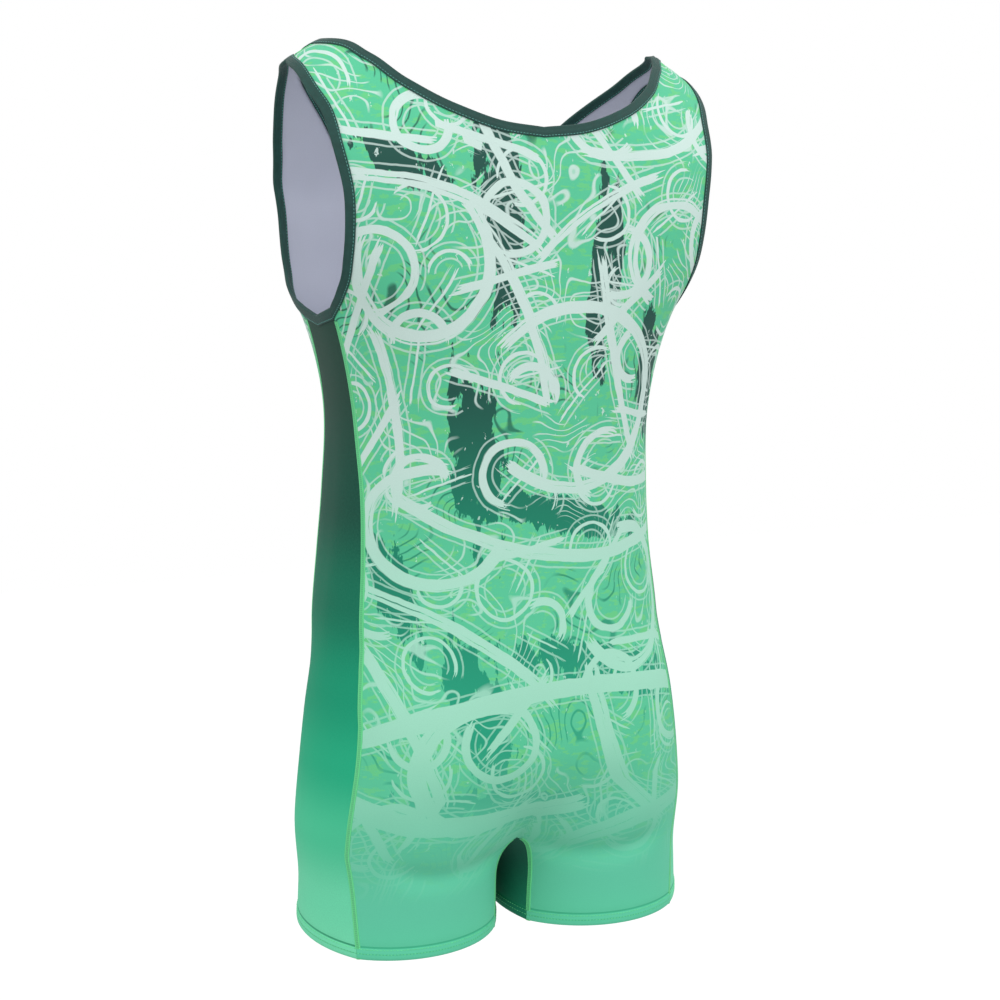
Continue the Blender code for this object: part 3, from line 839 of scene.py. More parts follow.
class SingletStudio(bpy.types.PropertyGroup):
    """Floor, light and camera"""
    floor: colour_setting("Floor", "Pale floor and backdrop", (0.50, 0.50, 0.50))
    glow: FloatProperty(name="Floor glow", description="Light of the floor's own, so it stays pale",
                        default=0.56, min=0.0, soft_max=1.0)
    key: FloatProperty(name="Key light", description="Strength of the large soft light",
                       default=30.0, min=0.0, soft_max=200.0)
    sky: FloatProperty(name="Room light", description="Even light from all round",
                       default=1.01, min=0.0, soft_max=3.0)
    focal: FloatProperty(name="Focal length", description="Camera lens in millimetres",
                         default=62.64, min=20.0, max=200.0)


def settings():
    """The cloth's and the thread's settings."""
    return bpy.context.scene.singlet_cloth, bpy.context.scene.singlet_thread


def feed(tree, socket, value):
    """Join a socket to another one, or set its own value."""
    if isinstance(value, bpy.types.NodeSocket):
        tree.links.new(value, socket)
    elif hasattr(value, "__len__") and len(socket.default_value) == 4 and len(value) == 3:
        socket.default_value = (*value, 1.0)
    else:
        socket.default_value = value


def calc(tree, operation, *values):
    """One sum on numbers."""
    made = tree.nodes.new("ShaderNodeMath")
    made.operation = operation
    for socket, value in zip(made.inputs, values):
        feed(tree, socket, value)
    return made.outputs[0]


def times(tree, first, second):
    """Product of two numbers."""
    return calc(tree, "MULTIPLY", first, second)


def plus(tree, first, second):
    """Sum of two numbers."""
    return calc(tree, "ADD", first, second)


def minus(tree, first, second):
    """The first number less the second."""
    return calc(tree, "SUBTRACT", first, second)


def larger(tree, first, second):
    """The larger of two numbers."""
    return calc(tree, "MAXIMUM", first, second)


def apart(tree, first, second):
    """How far two numbers lie apart."""
    return calc(tree, "ABSOLUTE", minus(tree, first, second))


def vector_calc(tree, operation, *values):
    """One sum on places or directions."""
    made = tree.nodes.new("ShaderNodeVectorMath")
    made.operation = operation
    for socket, value in zip(made.inputs, values):
        feed(tree, socket, value)
    return made.outputs["Value" if operation in ("LENGTH", "DOT_PRODUCT") else "Vector"]


def split(tree, vector):
    """The three parts of a place."""
    made = tree.nodes.new("ShaderNodeSeparateXYZ")
    feed(tree, made.inputs[0], vector)
    return made.outputs[0], made.outputs[1], made.outputs[2]


def combine(tree, x, y, z=0.0):
    """A place made of its three parts."""
    made = tree.nodes.new("ShaderNodeCombineXYZ")
    for socket, value in zip(made.inputs, (x, y, z)):
        feed(tree, socket, value)
    return made.outputs[0]


def span(tree, value, low, high):
    """0 at low to 1 at high, held beyond them; low may be above high."""
    made = tree.nodes.new("ShaderNodeMapRange")
    feed(tree, made.inputs["Value"], value)
    feed(tree, made.inputs["From Min"], low)
    feed(tree, made.inputs["From Max"], high)
    return made.outputs["Result"]


def mix(tree, share, first, second):
    """A colour between two others."""
    made = tree.nodes.new("ShaderNodeMix")
    made.data_type = "RGBA"
    feed(tree, made.inputs[0], share)
    feed(tree, made.inputs[6], first)
    feed(tree, made.inputs[7], second)
    return made.outputs[2]


def noise(tree, vector, scale, detail=2.0, roughness=0.5):
    """Cloudy noise, as a number and as a colour."""
    made = tree.nodes.new("ShaderNodeTexNoise")
    feed(tree, made.inputs["Vector"], vector)
    feed(tree, made.inputs["Scale"], scale)
    feed(tree, made.inputs["Detail"], detail)
    feed(tree, made.inputs["Roughness"], roughness)
    return made.outputs["Fac"], made.outputs["Color"]


def ramp(tree, share, stops):
    """Colours that follow one another along a share from 0 to 1."""
    made = tree.nodes.new("ShaderNodeValToRGB")
    made.color_ramp.interpolation = "EASE"
    elements = made.color_ramp.elements
    for _ in range(len(stops) - 2):
        elements.new(0.5)
    for element, (at, colour) in zip(elements, stops):
        element.position = at
        element.color = (*colour, 1.0)
    feed(tree, made.inputs[0], share)
    return made.outputs[0]


def new_group(name, inputs, outputs):
    """Empty node group with named inputs (name, kind, value) and outputs (name, kind)."""
    tree = bpy.data.node_groups.new(name, "ShaderNodeTree")
    for label, kind, value in inputs:
        socket = tree.interface.new_socket(label, in_out="INPUT", socket_type="NodeSocket" + kind)
        if value is not None:
            socket.default_value = value
    for label, kind in outputs:
        tree.interface.new_socket(label, in_out="OUTPUT", socket_type="NodeSocket" + kind)
    return tree, tree.nodes.new("NodeGroupInput").outputs, tree.nodes.new("NodeGroupOutput").inputs


def use_group(tree, group, **values):
    """Place a group in a tree; an underscore in a name stands for a space."""
    made = tree.nodes.new("ShaderNodeGroup")
    made.node_tree = group
    for name, value in values.items():
        feed(tree, made.inputs[name.replace("_", " ")], value)
    return made.outputs


def brush_end(tree, along, half_length, streak):
    """1 inside the length of a stroke, with a torn end."""
    torn = times(tree, minus(tree, streak, 0.5), 0.05)
    over = minus(tree, plus(tree, half_length, torn), along)
    return span(tree, over, 0.0, 0.0012)


def brush_width(tree, off, width, dryness, streak):
    """1 inside the width of a stroke, with dry streaks, and on a fine line beside it."""
    half = times(tree, width, 0.5)
    slim = times(tree, minus(tree, streak, 0.5), 0.0026)
    inside = span(tree, minus(tree, plus(tree, half, slim), off), 0.0, 0.0006)
    wet = span(tree, streak, minus(tree, dryness, 0.03), plus(tree, dryness, 0.03))
    beside = apart(tree, minus(tree, off, half), 0.0048)
    line = times(tree, span(tree, beside, 0.0011, 0.0006), 0.66)
    return larger(tree, times(tree, inside, wet), line)


def brush_bar_group():
    """Straight or bowed stroke of a dry brush."""
    tree, take, give = new_group("Brush bar", [
        ("Place", "Vector", None), ("Centre", "Vector", None), ("Angle", "Float", 0.0),
        ("Length", "Float", 0.2), ("Width", "Float", 0.015), ("Bow", "Float", 0.0),
        ("Dryness", "Float", 0.3)], [("Mask", "Float")])
    away = vector_calc(tree, "SUBTRACT", take["Place"], take["Centre"])
    turned = tree.nodes.new("ShaderNodeVectorRotate")
    turned.rotation_type = "Z_AXIS"
    feed(tree, turned.inputs["Vector"], away)
    feed(tree, turned.inputs["Angle"], take["Angle"])
    x, y, _ = split(tree, turned.outputs[0])
    y = plus(tree, y, times(tree, take["Bow"], times(tree, x, x)))
    seed = times(tree, take["Length"], 37.0)
    lines = combine(tree, times(tree, x, 9.0), times(tree, y, 420.0), seed)
    streak, _ = noise(tree, lines, 1.0, 2.0)
    mask = brush_width(tree, calc(tree, "ABSOLUTE", y), take["Width"], take["Dryness"], streak)
    half_length = times(tree, take["Length"], 0.5)
    end = brush_end(tree, calc(tree, "ABSOLUTE", x), half_length, streak)
    feed(tree, give["Mask"], times(tree, mask, end))
    return tree


def brush_arc_group():
    """Stroke of a dry brush along part of an oval."""
    tree, take, give = new_group("Brush arc", [
        ("Place", "Vector", None), ("Centre", "Vector", None), ("Radius", "Float", 0.08),
        ("Flatness", "Float", 1.0), ("Width", "Float", 0.015), ("From", "Float", 0.0),
        ("Sweep", "Float", 4.0), ("Dryness", "Float", 0.3)], [("Mask", "Float")])
    away = vector_calc(tree, "SUBTRACT", take["Place"], take["Centre"])
    x, y, _ = split(tree, away)
    y = times(tree, y, take["Flatness"])
    radius = calc(tree, "SQRT", plus(tree, times(tree, x, x), times(tree, y, y)))
    turn = calc(tree, "FLOORED_MODULO",
                minus(tree, calc(tree, "ARCTAN2", y, x), take["From"]), math.tau)
    out = minus(tree, radius, take["Radius"])
    seed = times(tree, take["Radius"], 91.0)
    lines = combine(tree, times(tree, turn, 0.7), times(tree, out, 420.0), seed)
    streak, _ = noise(tree, lines, 1.0, 2.0)
    mask = brush_width(tree, calc(tree, "ABSOLUTE", out), take["Width"], take["Dryness"], streak)
    half = times(tree, take["Sweep"], 0.5)
    from_middle = apart(tree, turn, half)
    along = times(tree, from_middle, take["Radius"])
    reach = times(tree, half, take["Radius"])
    feed(tree, give["Mask"], times(tree, mask, brush_end(tree, along, reach, streak)))
    return tree


def patch_group():
    """Soft-edged area of a dark patch: 1 in its middle, 0 outside."""
    tree, take, give = new_group("Dark patch", [
        ("Place", "Vector", None), ("Centre", "Vector", None), ("Angle", "Float", 0.0),
        ("Length", "Float", 0.2), ("Width", "Float", 0.03)], [("Mask", "Float")])
    turned = tree.nodes.new("ShaderNodeVectorRotate")
    turned.rotation_type = "Z_AXIS"
    feed(tree, turned.inputs["Vector"], take["Place"])
    feed(tree, turned.inputs["Center"], take["Centre"])
    feed(tree, turned.inputs["Angle"], take["Angle"])
    x, y, _ = split(tree, vector_calc(tree, "SUBTRACT", turned.outputs[0], take["Centre"]))
    long = calc(tree, "DIVIDE", x, times(tree, take["Length"], 0.5))
    wide = calc(tree, "DIVIDE", y, times(tree, take["Width"], 0.5))
    out = calc(tree, "SQRT", plus(tree, times(tree, long, long), times(tree, wide, wide)))
    feed(tree, give["Mask"], span(tree, out, 1.25, 0.55))
    return tree


def contour_group():
    """Thin lines that wander round one another like the rings of sawn wood."""
    tree, take, give = new_group("Contour lines", [
        ("Place", "Vector", None), ("Scale", "Float", 11.0), ("Lines", "Float", 14.0),
        ("Thickness", "Float", 0.12)], [("Mask", "Float")])
    broad, _ = noise(tree, take["Place"], take["Scale"], 1.5)
    share = calc(tree, "FRACT", times(tree, broad, take["Lines"]))
    off = apart(tree, share, 0.5)
    feed(tree, give["Mask"], span(tree, off, take["Thickness"],
                                  times(tree, take["Thickness"], 0.4)))
    return tree


def knit_group():
    """Fine loops of the knit: a height for the bump and a slight change of shade."""
    tree, take, give = new_group("Knit", [
        ("Place", "Vector", None), ("Across", "Float", 1400.0), ("Down", "Float", 1000.0)],
        [("Height", "Float"), ("Shade", "Float")])
    x, y, _ = split(tree, take["Place"])
    columns = calc(tree, "SINE", times(tree, x, times(tree, take["Across"], math.tau)))
    rows = calc(tree, "SINE", times(tree, y, times(tree, take["Down"], math.tau)))
    loops = times(tree, columns, rows)
    fine, _ = noise(tree, take["Place"], 900.0, 2.0, 0.6)
    height = plus(tree, times(tree, loops, 0.5), fine)
    feed(tree, give["Height"], height)
    feed(tree, give["Shade"], span(tree, fine, 0.3, 0.7))
    return tree


def hem_shadow_group():
    """Painted shadow at the folded top of a turned hem, and a fainter dark line at its middle."""
    tree, take, give = new_group("Hem shadow and stitch lines", [("Top", "Float", 0.0120),
                                               ("Middle", "Float", 0.0058)], [("Mask", "Float")])
    above = tree.nodes.new("ShaderNodeAttribute")
    above.attribute_name = "hem"
    above = above.outputs["Fac"]
    from_top = apart(tree, above, take["Top"])
    from_middle = apart(tree, above, take["Middle"])
    # painted shadow in the groove above the hem's turned edge; the middle line follows the lower
    # row of hem stitches
    top = times(tree, span(tree, from_top, 0.0013, 0.0005), 0.8)
    middle = times(tree, span(tree, from_middle, 0.0007, 0.0002), 0.5)
    feed(tree, give["Mask"], larger(tree, top, middle))
    return tree


def groups():
    """The shared node groups, made once."""
    makers = {"Brush bar": brush_bar_group, "Brush arc": brush_arc_group,
              "Dark patch": patch_group, "Contour lines": contour_group, "Knit": knit_group,
              "Hem shadow and stitch lines": hem_shadow_group}
    return {name: bpy.data.node_groups.get(name) or make() for name, make in makers.items()}


# strokes of the print, in metres from the centre line and from the top of the shoulders:
# bars (across, height, angle, length, width, bow, dryness)
# arcs (across, height, radius, flatness, width, from, sweep, dryness)
# and dark patches (across, height, angle, length, width)
BACK_PALE_BARS = (
    (0.095, -0.135, 0.30, 0.20, 0.012, 2.0, 0.36),
    (-0.120, -0.100, -0.25, 0.16, 0.010, -3.0, 0.34),
    (0.020, -0.235, 1.15, 0.17, 0.011, 1.2, 0.33),
    (-0.075, -0.285, 1.25, 0.19, 0.009, -1.0, 0.35),
    (0.130, -0.330, 1.40, 0.16, 0.010, 1.8, 0.36),
    (-0.020, -0.455, 0.12, 0.30, 0.012, -1.6, 0.34),
    (0.070, -0.520, 0.55, 0.20, 0.011, 1.5, 0.35),
    (0.000, -0.575, -0.06, 0.42, 0.017, 0.9, 0.30),
    (-0.070, -0.640, 1.20, 0.17, 0.018, -1.4, 0.33),
    (0.085, -0.690, 0.10, 0.24, 0.018, -1.3, 0.31),
    (-0.100, -0.705, -0.12, 0.20, 0.017, 1.2, 0.34),
    (0.040, -0.115, 1.05, 0.15, 0.009, -2.0, 0.33),
    (-0.045, -0.150, -0.55, 0.14, 0.008, 2.0, 0.33),
    (-0.110, -0.395, 0.10, 0.15, 0.010, -2.0, 0.33),
    (0.125, -0.600, 1.10, 0.16, 0.013, 1.0, 0.34),
)
BACK_PALE_ARCS = (
    (-0.035, -0.315, 0.092, 1.15, 0.013, 0.6, 4.9, 0.33),
    (0.112, -0.195, 0.058, 0.90, 0.012, 2.2, 4.4, 0.35),
    (-0.135, -0.190, 0.050, 1.10, 0.011, 5.2, 4.2, 0.34),
    (0.095, -0.425, 0.062, 1.20, 0.013, 3.4, 4.6, 0.34),
    (-0.100, -0.500, 0.060, 0.95, 0.012, 1.4, 4.3, 0.35),
    (0.050, -0.640, 0.070, 1.25, 0.017, 4.3, 3.9, 0.32),
)
BACK_DARK = (
    (0.045, -0.150, 1.50, 0.24, 0.050),
    (-0.058, -0.200, 1.62, 0.20, 0.040),
    (0.128, -0.115, 0.50, 0.12, 0.035),
    (-0.130, -0.300, 1.30, 0.16, 0.044),
    (0.060, -0.365, 1.45, 0.20, 0.056),
    (-0.030, -0.420, 0.20, 0.24, 0.040),
    (0.135, -0.480, 1.20, 0.14, 0.044),
    (-0.060, -0.560, 0.25, 0.24, 0.050),
    (0.060, -0.590, 1.30, 0.18, 0.060),
    (0.010, -0.685, 0.15, 0.28, 0.044),
)
FRONT_PALE_BARS = tuple(
    (-across, height - 0.05, math.pi - angle, length, width, bow, dryness)
    for across, height, angle, length, width, bow, dryness in BACK_PALE_BARS)
FRONT_PALE_ARCS = tuple(
    (-across, height - 0.06, radius, flatness, width, start + 1.3, sweep, dryness)
    for across, height, radius, flatness, width, start, sweep, dryness in BACK_PALE_ARCS)
FRONT_DARK = tuple((-across, height - 0.05, math.pi - angle, length, width)
                   for across, height, angle, length, width in BACK_DARK)


def strokes(tree, place, bars, arcs):
    """The strongest of many strokes at each place."""
    made = groups()
    strongest = 0.0
    for across, height, angle, length, width, bow, dryness in bars:
        mask = use_group(
            tree, made["Brush bar"], Place=place, Centre=(across, height, 0.0), Angle=-angle,
            Length=length, Width=width, Bow=bow, Dryness=dryness)["Mask"]
        strongest = larger(tree, mask, strongest)
    for across, height, radius, flatness, width, start, sweep, dryness in arcs:
        mask = use_group(
            tree, made["Brush arc"], Place=place, Centre=(across, height, 0.0), Radius=radius,
            Flatness=flatness, Width=width, From=start, Sweep=sweep, Dryness=dryness)["Mask"]
        strongest = larger(tree, mask, strongest)
    return strongest


def scattered(tree, place, spacing, shift):
    """Middle of the cell that each place lies in, and three chances between 0 and 1 for it."""
    cells = tree.nodes.new("ShaderNodeTexVoronoi")
    cells.voronoi_dimensions = "2D"
    feed(tree, cells.inputs["Vector"], vector_calc(tree, "ADD", place, (shift, shift, 0.0)))
    cells.inputs["Scale"].default_value = 1 / spacing
    cells.inputs["Randomness"].default_value = 0.5
    middle = vector_calc(tree, "SUBTRACT", cells.outputs["Position"], (shift, shift, 0.0))
    return middle, split(tree, cells.outputs["Color"])


def small_strokes(tree, place, shift):
    """Rings and short bars scattered over the cloth, one in each cell of a loose grid."""
    made = groups()
    strongest = 0.0
    for spacing, width in SMALL_RINGS:
        middle, (a, b, c) = scattered(tree, place, spacing, shift + spacing)
        mask = use_group(
            tree, made["Brush arc"], Place=place, Centre=middle, Width=width, Dryness=0.31,
            Radius=times(tree, plus(tree, 0.62, times(tree, a, 0.38)), spacing * 0.34),
            From=times(tree, b, math.tau),
            Sweep=plus(tree, 2.6, times(tree, c, 3.0)))["Mask"]
        strongest = larger(tree, mask, strongest)
    for spacing, width in SMALL_BARS:
        middle, (a, b, _) = scattered(tree, place, spacing, shift + spacing * 3)
        mask = use_group(
            tree, made["Brush bar"], Place=place, Centre=middle, Width=width, Dryness=0.31,
            Length=times(tree, plus(tree, 0.55, times(tree, a, 0.35)), spacing),
            Angle=times(tree, b, math.tau))["Mask"]
        strongest = larger(tree, mask, strongest)
    return strongest


def patches_of(tree, place, patches):
    """The strongest of many soft dark patches at each place."""
    strongest = 0.0
    for across, height, angle, length, width in patches:
        mask = use_group(
            tree, groups()["Dark patch"], Place=place, Centre=(across, height, 0.0),
            Angle=-angle, Length=length, Width=width)["Mask"]
        strongest = larger(tree, mask, strongest)
    return strongest


def new_material(name, roughness, sheen=0.0, gloss=0.5):
    """Plain material with its roughness, sheen and gloss set."""
    material = bpy.data.materials.new(name)
    material.use_nodes = True
    shader = material.node_tree.nodes["Principled BSDF"]
    shader.inputs["Roughness"].default_value = roughness
    shader.inputs["Sheen Weight"].default_value = sheen
    shader.inputs["Sheen Roughness"].default_value = 0.4
    shader.inputs["Specular IOR Level"].default_value = gloss
    return material, material.node_tree, shader


def raise_knit(tree, shader, height, strength, distance):
    """Fine relief of the cloth or the thread."""
    bump = tree.nodes.new("ShaderNodeBump")
    bump.inputs["Strength"].default_value = strength
    bump.inputs["Distance"].default_value = distance
    tree.links.new(height, bump.inputs["Height"])
    tree.links.new(bump.outputs["Normal"], shader.inputs["Normal"])


def cloth_place(tree):
    """Flat place on the cut piece, in metres, from its own UV map."""
    made = tree.nodes.new("ShaderNodeUVMap")
    made.uv_map = "cut"
    return made.outputs["UV"]


def printed_material(name, pale_bars, pale_arcs, dark_patches, shift):
    """Print of brush strokes over a mottled ground, fading to plain mint at the legs."""
    cloth, _ = settings()
    made = groups()
    material, tree, shader = new_material(name, 0.62, 0.06, 0.3)
    flat_place = cloth_place(tree)
    _, height, _ = split(tree, flat_place)
    _, wander = noise(tree, flat_place, 24.0, 3.0)
    ragged = vector_calc(tree, "MULTIPLY_ADD", wander, (0.007, 0.007, 0.0),
                         (-0.0035 + shift, -0.0035, 0.0))
    place = vector_calc(tree, "ADD", flat_place, ragged)
    down = span(tree, height, *CLOTH_SPAN)

    stretched = vector_calc(tree, "MULTIPLY", flat_place, (0.7, 1.5, 1.0))
    patches, _ = noise(tree, stretched, 95.0, 4.0, 0.6)
    ground = mix(tree, span(tree, patches, 0.52, 0.57), cloth.mint, cloth.mottle)

    dark = ramp(tree, down, [(0.0, cloth.dark), (0.34, cloth.dark), (0.56, cloth.dark_mid),
                             (0.74, tone(30, 165, 128)), (0.90, tone(86, 204, 162))])
    dark_mask = patches_of(tree, place, dark_patches)
    dry, _ = noise(tree, vector_calc(tree, "MULTIPLY", place, (1.0, 0.30, 1.0)), 75.0, 4.0, 0.65)
    dark_mask = minus(tree, plus(tree, dry, times(tree, dark_mask, 0.36)), 0.72)
    dark_mask = span(tree, dark_mask, 0.0, 0.02)
    contours = use_group(tree, made["Contour lines"], Place=place, Scale=9.0, Lines=30.0,
                         Thickness=0.14)["Mask"]
    where, _ = noise(tree, flat_place, 11.0, 2.0)
    dark_lines = times(tree, contours, span(tree, where, 0.55, 0.59))
    ground = mix(tree, larger(tree, dark_mask, times(tree, dark_lines, 0.8)), ground, dark)

    pale = ramp(tree, down, [(0.0, cloth.pale), (0.40, cloth.pale), (0.62, tone(176, 234, 210)),
                             (0.80, cloth.pale_low), (1.0, cloth.pale_low)])
    pale_mask = larger(tree, strokes(tree, place, pale_bars, pale_arcs),
                       small_strokes(tree, place, shift))
    squiggles = use_group(tree, made["Contour lines"],
                          Place=vector_calc(tree, "ADD", place, (0.7, 0.3, 0.0)),
                          Scale=9.0, Lines=30.0, Thickness=0.12)["Mask"]
    pale_lines = times(tree, squiggles, span(tree, where, 0.50, 0.46))
    narrowed = vector_calc(tree, "MULTIPLY", place, (1.0, 0.55, 1.0))
    flecks, _ = noise(tree, narrowed, 130.0, 3.0, 0.7)
    flecks = times(tree, span(tree, flecks, 0.655, 0.675), 0.8)
    pale_lines = larger(tree, times(tree, pale_lines, 0.85), flecks)
    printed = mix(tree, larger(tree, pale_mask, pale_lines), ground, pale)

    plain = ramp(tree, down, [(0.0, cloth.plain), (0.93, cloth.plain), (1.0, tone(98, 216, 172))])
    fade = span(tree, height, *PRINT_FADE)
    printed = mix(tree, fade, printed, plain)
    knit = use_group(tree, made["Knit"], Place=flat_place)
    shade = mix(tree, times(tree, knit["Shade"], 0.06), printed, tone(30, 110, 85))
    # painted shadow along the top of each hem, and a darker line at its lower stitch row, mixed
    # into the colour
    hem = use_group(tree, made["Hem shadow and stitch lines"])["Mask"]
    shade = mix(tree, hem, shade, tone(52, 176, 132))
    tree.links.new(shade, shader.inputs["Base Color"])
    rough = plus(tree, 0.56, times(tree, patches, 0.14))
    tree.links.new(rough, shader.inputs["Roughness"])
    raise_knit(tree, shader, knit["Height"], 0.18, 0.0004)
    return material


def lining_material():
    """Unprinted inside of the cloth, a cool pale grey."""
    cloth, _ = settings()
    if "lining_side" in bpy.data.materials:
        return bpy.data.materials["lining_side"]
    material, tree, shader = new_material("lining_side", 0.7, 0.06, 0.3)
    place = cloth_place(tree)
    knit = use_group(tree, groups()["Knit"], Place=place)
    cloudy, _ = noise(tree, place, 14.0, 2.0)
    ground = mix(tree, cloudy, cloth.lining, tuple(c * 0.9 for c in cloth.lining))
    colour = mix(tree, times(tree, knit["Shade"], 0.08), ground, tone(140, 138, 160))
    tree.links.new(colour, shader.inputs["Base Color"])
    tree.links.new(span(tree, cloudy, -1.2, 1.6), shader.inputs["Roughness"])
    raise_knit(tree, shader, knit["Height"], 0.15, 0.0004)
    return material


def graded_material(name, stops, grain, sheen):
    """Plain knit whose colour changes from the top to the hem, with a visible grain."""
    material, tree, shader = new_material(name, 0.66, sheen, 0.15)
    place = cloth_place(tree)
    _, height, _ = split(tree, place)
    down = span(tree, height, *CLOTH_SPAN)
    ground = ramp(tree, down, stops)
    knit = use_group(tree, groups()["Knit"], Place=place, Across=1250.0, Down=900.0)
    holes, _ = noise(tree, vector_calc(tree, "MULTIPLY", place, (1.0, 0.8, 1.0)), 620.0, 1.0)
    lit = span(tree, holes, 0.35, 0.65)
    lighter = mix(tree, times(tree, lit, grain * 0.5), ground, tone(110, 200, 160))
    darker = mix(tree, times(tree, knit["Shade"], grain), lighter, tone(8, 40, 32))
    # painted shadow along the top of each hem, and a darker line at its lower stitch row, mixed
    # into the colour
    hem = use_group(tree, groups()["Hem shadow and stitch lines"])["Mask"]
    darker = mix(tree, hem, darker, tone(30, 140, 100))
    tree.links.new(darker, shader.inputs["Base Color"])
    tree.links.new(span(tree, holes, -1.5, 1.8), shader.inputs["Roughness"])
    raise_knit(tree, shader, knit["Height"], 0.25, 0.0004)
    return material


def tape_material():
    """Dark woven binding with fine ribs across it."""
    cloth, _ = settings()
    material, tree, shader = new_material("binding_tape", 0.5, 0.08, 0.3)
    place = cloth_place(tree)
    along, _, _ = split(tree, place)
    ribs = calc(tree, "SINE", times(tree, along, math.tau / RIB_PITCH))
    worn, _ = noise(tree, place, 160.0, 3.0)
    shade = span(tree, plus(tree, times(tree, ribs, 0.12), worn), 0.25, 0.85)
    light = tuple(c * 1.5 + 0.004 for c in cloth.tape)
    tree.links.new(mix(tree, shade, cloth.tape, light), shader.inputs["Base Color"])
    tree.links.new(span(tree, worn, -1.1, 1.7), shader.inputs["Roughness"])
    raise_knit(tree, shader, ribs, 0.25, 0.0003)
    return material


def thread_material(name, colour):
    """Twisted polyester thread."""
    material, tree, shader = new_material(name, 0.45, 0.1)
    coordinates = tree.nodes.new("ShaderNodeTexCoord")
    twist, _ = noise(tree, coordinates.outputs["Object"], 900.0, 2.0)
    shade = mix(tree, span(tree, twist, 0.3, 0.7), tuple(c * 0.72 for c in colour), colour)
    tree.links.new(shade, shader.inputs["Base Color"])
    tree.links.new(span(tree, twist, -0.6, 1.6), shader.inputs["Roughness"])
    raise_knit(tree, shader, twist, 0.3, 0.0003)
    return material


def seam_material():
    """Flat seam: slanting cover threads with a needle row at either edge and a dotted middle."""
    _, thread = settings()
    material, tree, shader = new_material("flat_seam", 0.5, 0.1)
    along, across, _ = split(tree, cloth_place(tree))
    phase = times(tree, along, math.tau / COVER_PITCH)
    off = apart(tree, across, 0.5)
    covers = calc(tree, "SINE", plus(tree, phase, times(tree, off, 6.0)))
    rail = span(tree, apart(tree, off, 0.34), 0.13, 0.05)
    mesh = times(tree, span(tree, off, 0.26, 0.18), span(tree, covers, 0.3, -0.3))
    height = plus(tree, covers, times(tree, rail, 2.4))
    dim = tuple(c * 0.80 for c in thread.seam)
    light = mix(tree, rail, dim, thread.seam)
    colour = mix(tree, times(tree, mesh, 0.45), light, tone(58, 172, 120))
    tree.links.new(colour, shader.inputs["Base Color"])
    tree.links.new(span(tree, covers, -4.0, 5.0), shader.inputs["Roughness"])
    raise_knit(tree, shader, height, 0.5, 0.0005)
    return material


def to_piece(name, points, faces, places, slots, materials, above=None):
    """Make a mesh object from points, facets, flat places and the material of each facet.

    above is the height of each point over the edge of the hem, where the piece has one.
    """
    mesh = bpy.data.meshes.new(name)
    points = points + np.array([0.0, 0.0, TABLE_ZERO])
    mesh.from_pydata([tuple(p) for p in points], [], [tuple(f) for f in faces])
    for material in materials:
        mesh.materials.append(material)
    mesh.polygons.foreach_set("material_index", slots)
    mesh.polygons.foreach_set("use_smooth", [True] * len(faces))
    layer = mesh.uv_layers.new(name="cut")
    corners = np.empty(len(mesh.loops), int)
    mesh.loops.foreach_get("vertex_index", corners)
    layer.data.foreach_set("uv", places[corners].ravel())
    if above is not None:
        mesh.attributes.new("hem", "FLOAT", "POINT").data.foreach_set("value", above)
    shape = bmesh.new()
    shape.from_mesh(mesh)
    bmesh.ops.recalc_face_normals(shape, faces=shape.faces)
    shape.to_mesh(mesh)
    shape.free()
    piece = bpy.data.objects.new(name, mesh)
    bpy.context.scene.collection.objects.link(piece)
    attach(piece, BODY)
    return piece


def cut_piece(name, node, panel, pattern, materials):
    """Put a cut piece of cloth in the place of its solid."""
    points, faces, linings, places, above = panel.sheet(pattern)
    piece = to_piece(name, points, faces, places, linings, materials, above)
    keep_edges_crisp(piece)
    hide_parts(node)
    return piece


def keep_edges_crisp(piece):
    """Sharp edges where the wall turns, smooth shading over the cloth."""
    mesh = piece.data
    shape = bmesh.new()
    shape.from_mesh(mesh)
    for edge in shape.edges:
        edge.smooth = edge.calc_face_angle(0.0) < math.radians(SHARP_TURN)
    shape.to_mesh(mesh)
    shape.free()


def mirror_image(points, faces):
    """The same shape on the other side of the centre line."""
    return points * OTHER_SIDE, [tuple(reversed(face)) for face in faces]


def tape_section():
    """Outline of the folded tape: distance in from the edge and lift off the cloth."""
    near, far = WALL / 2 + FOLD_GAP, WALL / 2 + FOLD_GAP + TAPE
    fold = FOLD_GAP + TAPE
    outside = [(lap, far + rise) for lap, rise in TAPE_FACE]
    turns = np.radians(FOLD_TURNS)
    bend = [(-fold * math.cos(a), far * math.sin(a)) for a in turns]
    inside = [(lap, -far - rise) for lap, rise in reversed(TAPE_FACE)]
    back = [(BINDING_LAP, -near), (0.0, -near), (0.0, near), (BINDING_LAP, near)]
    return outside + bend + inside + back


def tape_points(edge, inner, section):
    """The section carried along an edge, one row of points for each station."""
    out_edge, out_inner = normals(edge), normals(inner)
    toward = inner - edge
    unit = toward / np.linalg.norm(toward, axis=1)[:, None]
    rows = []
    for lap, lift in section:
        share = max(lap, 0.0) / BINDING_WIDTH
        out = out_edge * (1 - share) + out_inner * share
        rows.append(edge + toward * share + unit * min(lap, 0.0) + out * lift)
    return np.stack(rows, axis=1)


def tape(runs):
    """Folded tape over a chain of bound edges, as points, facets and flat places."""
    section = tape_section()
    size = len(section)
    girth = measure(section)
    points, faces, places = [], [], []
    travelled = 0.0
    for edge, inner in runs:
        first = len(points)
        lengths = measure(edge) + travelled
        travelled = lengths[-1]
        for row, at in zip(tape_points(edge, inner, section), lengths):
            points += list(row)
            places += [(at, side) for side in girth]
        for k in range(len(edge) - 1):
            for j in range(size):
                here, there, n = first + k * size, first + (k + 1) * size, (j + 1) % size
                faces.append((here + j, here + n, there + n, there + j))
    return np.array(points), faces, np.array(places)


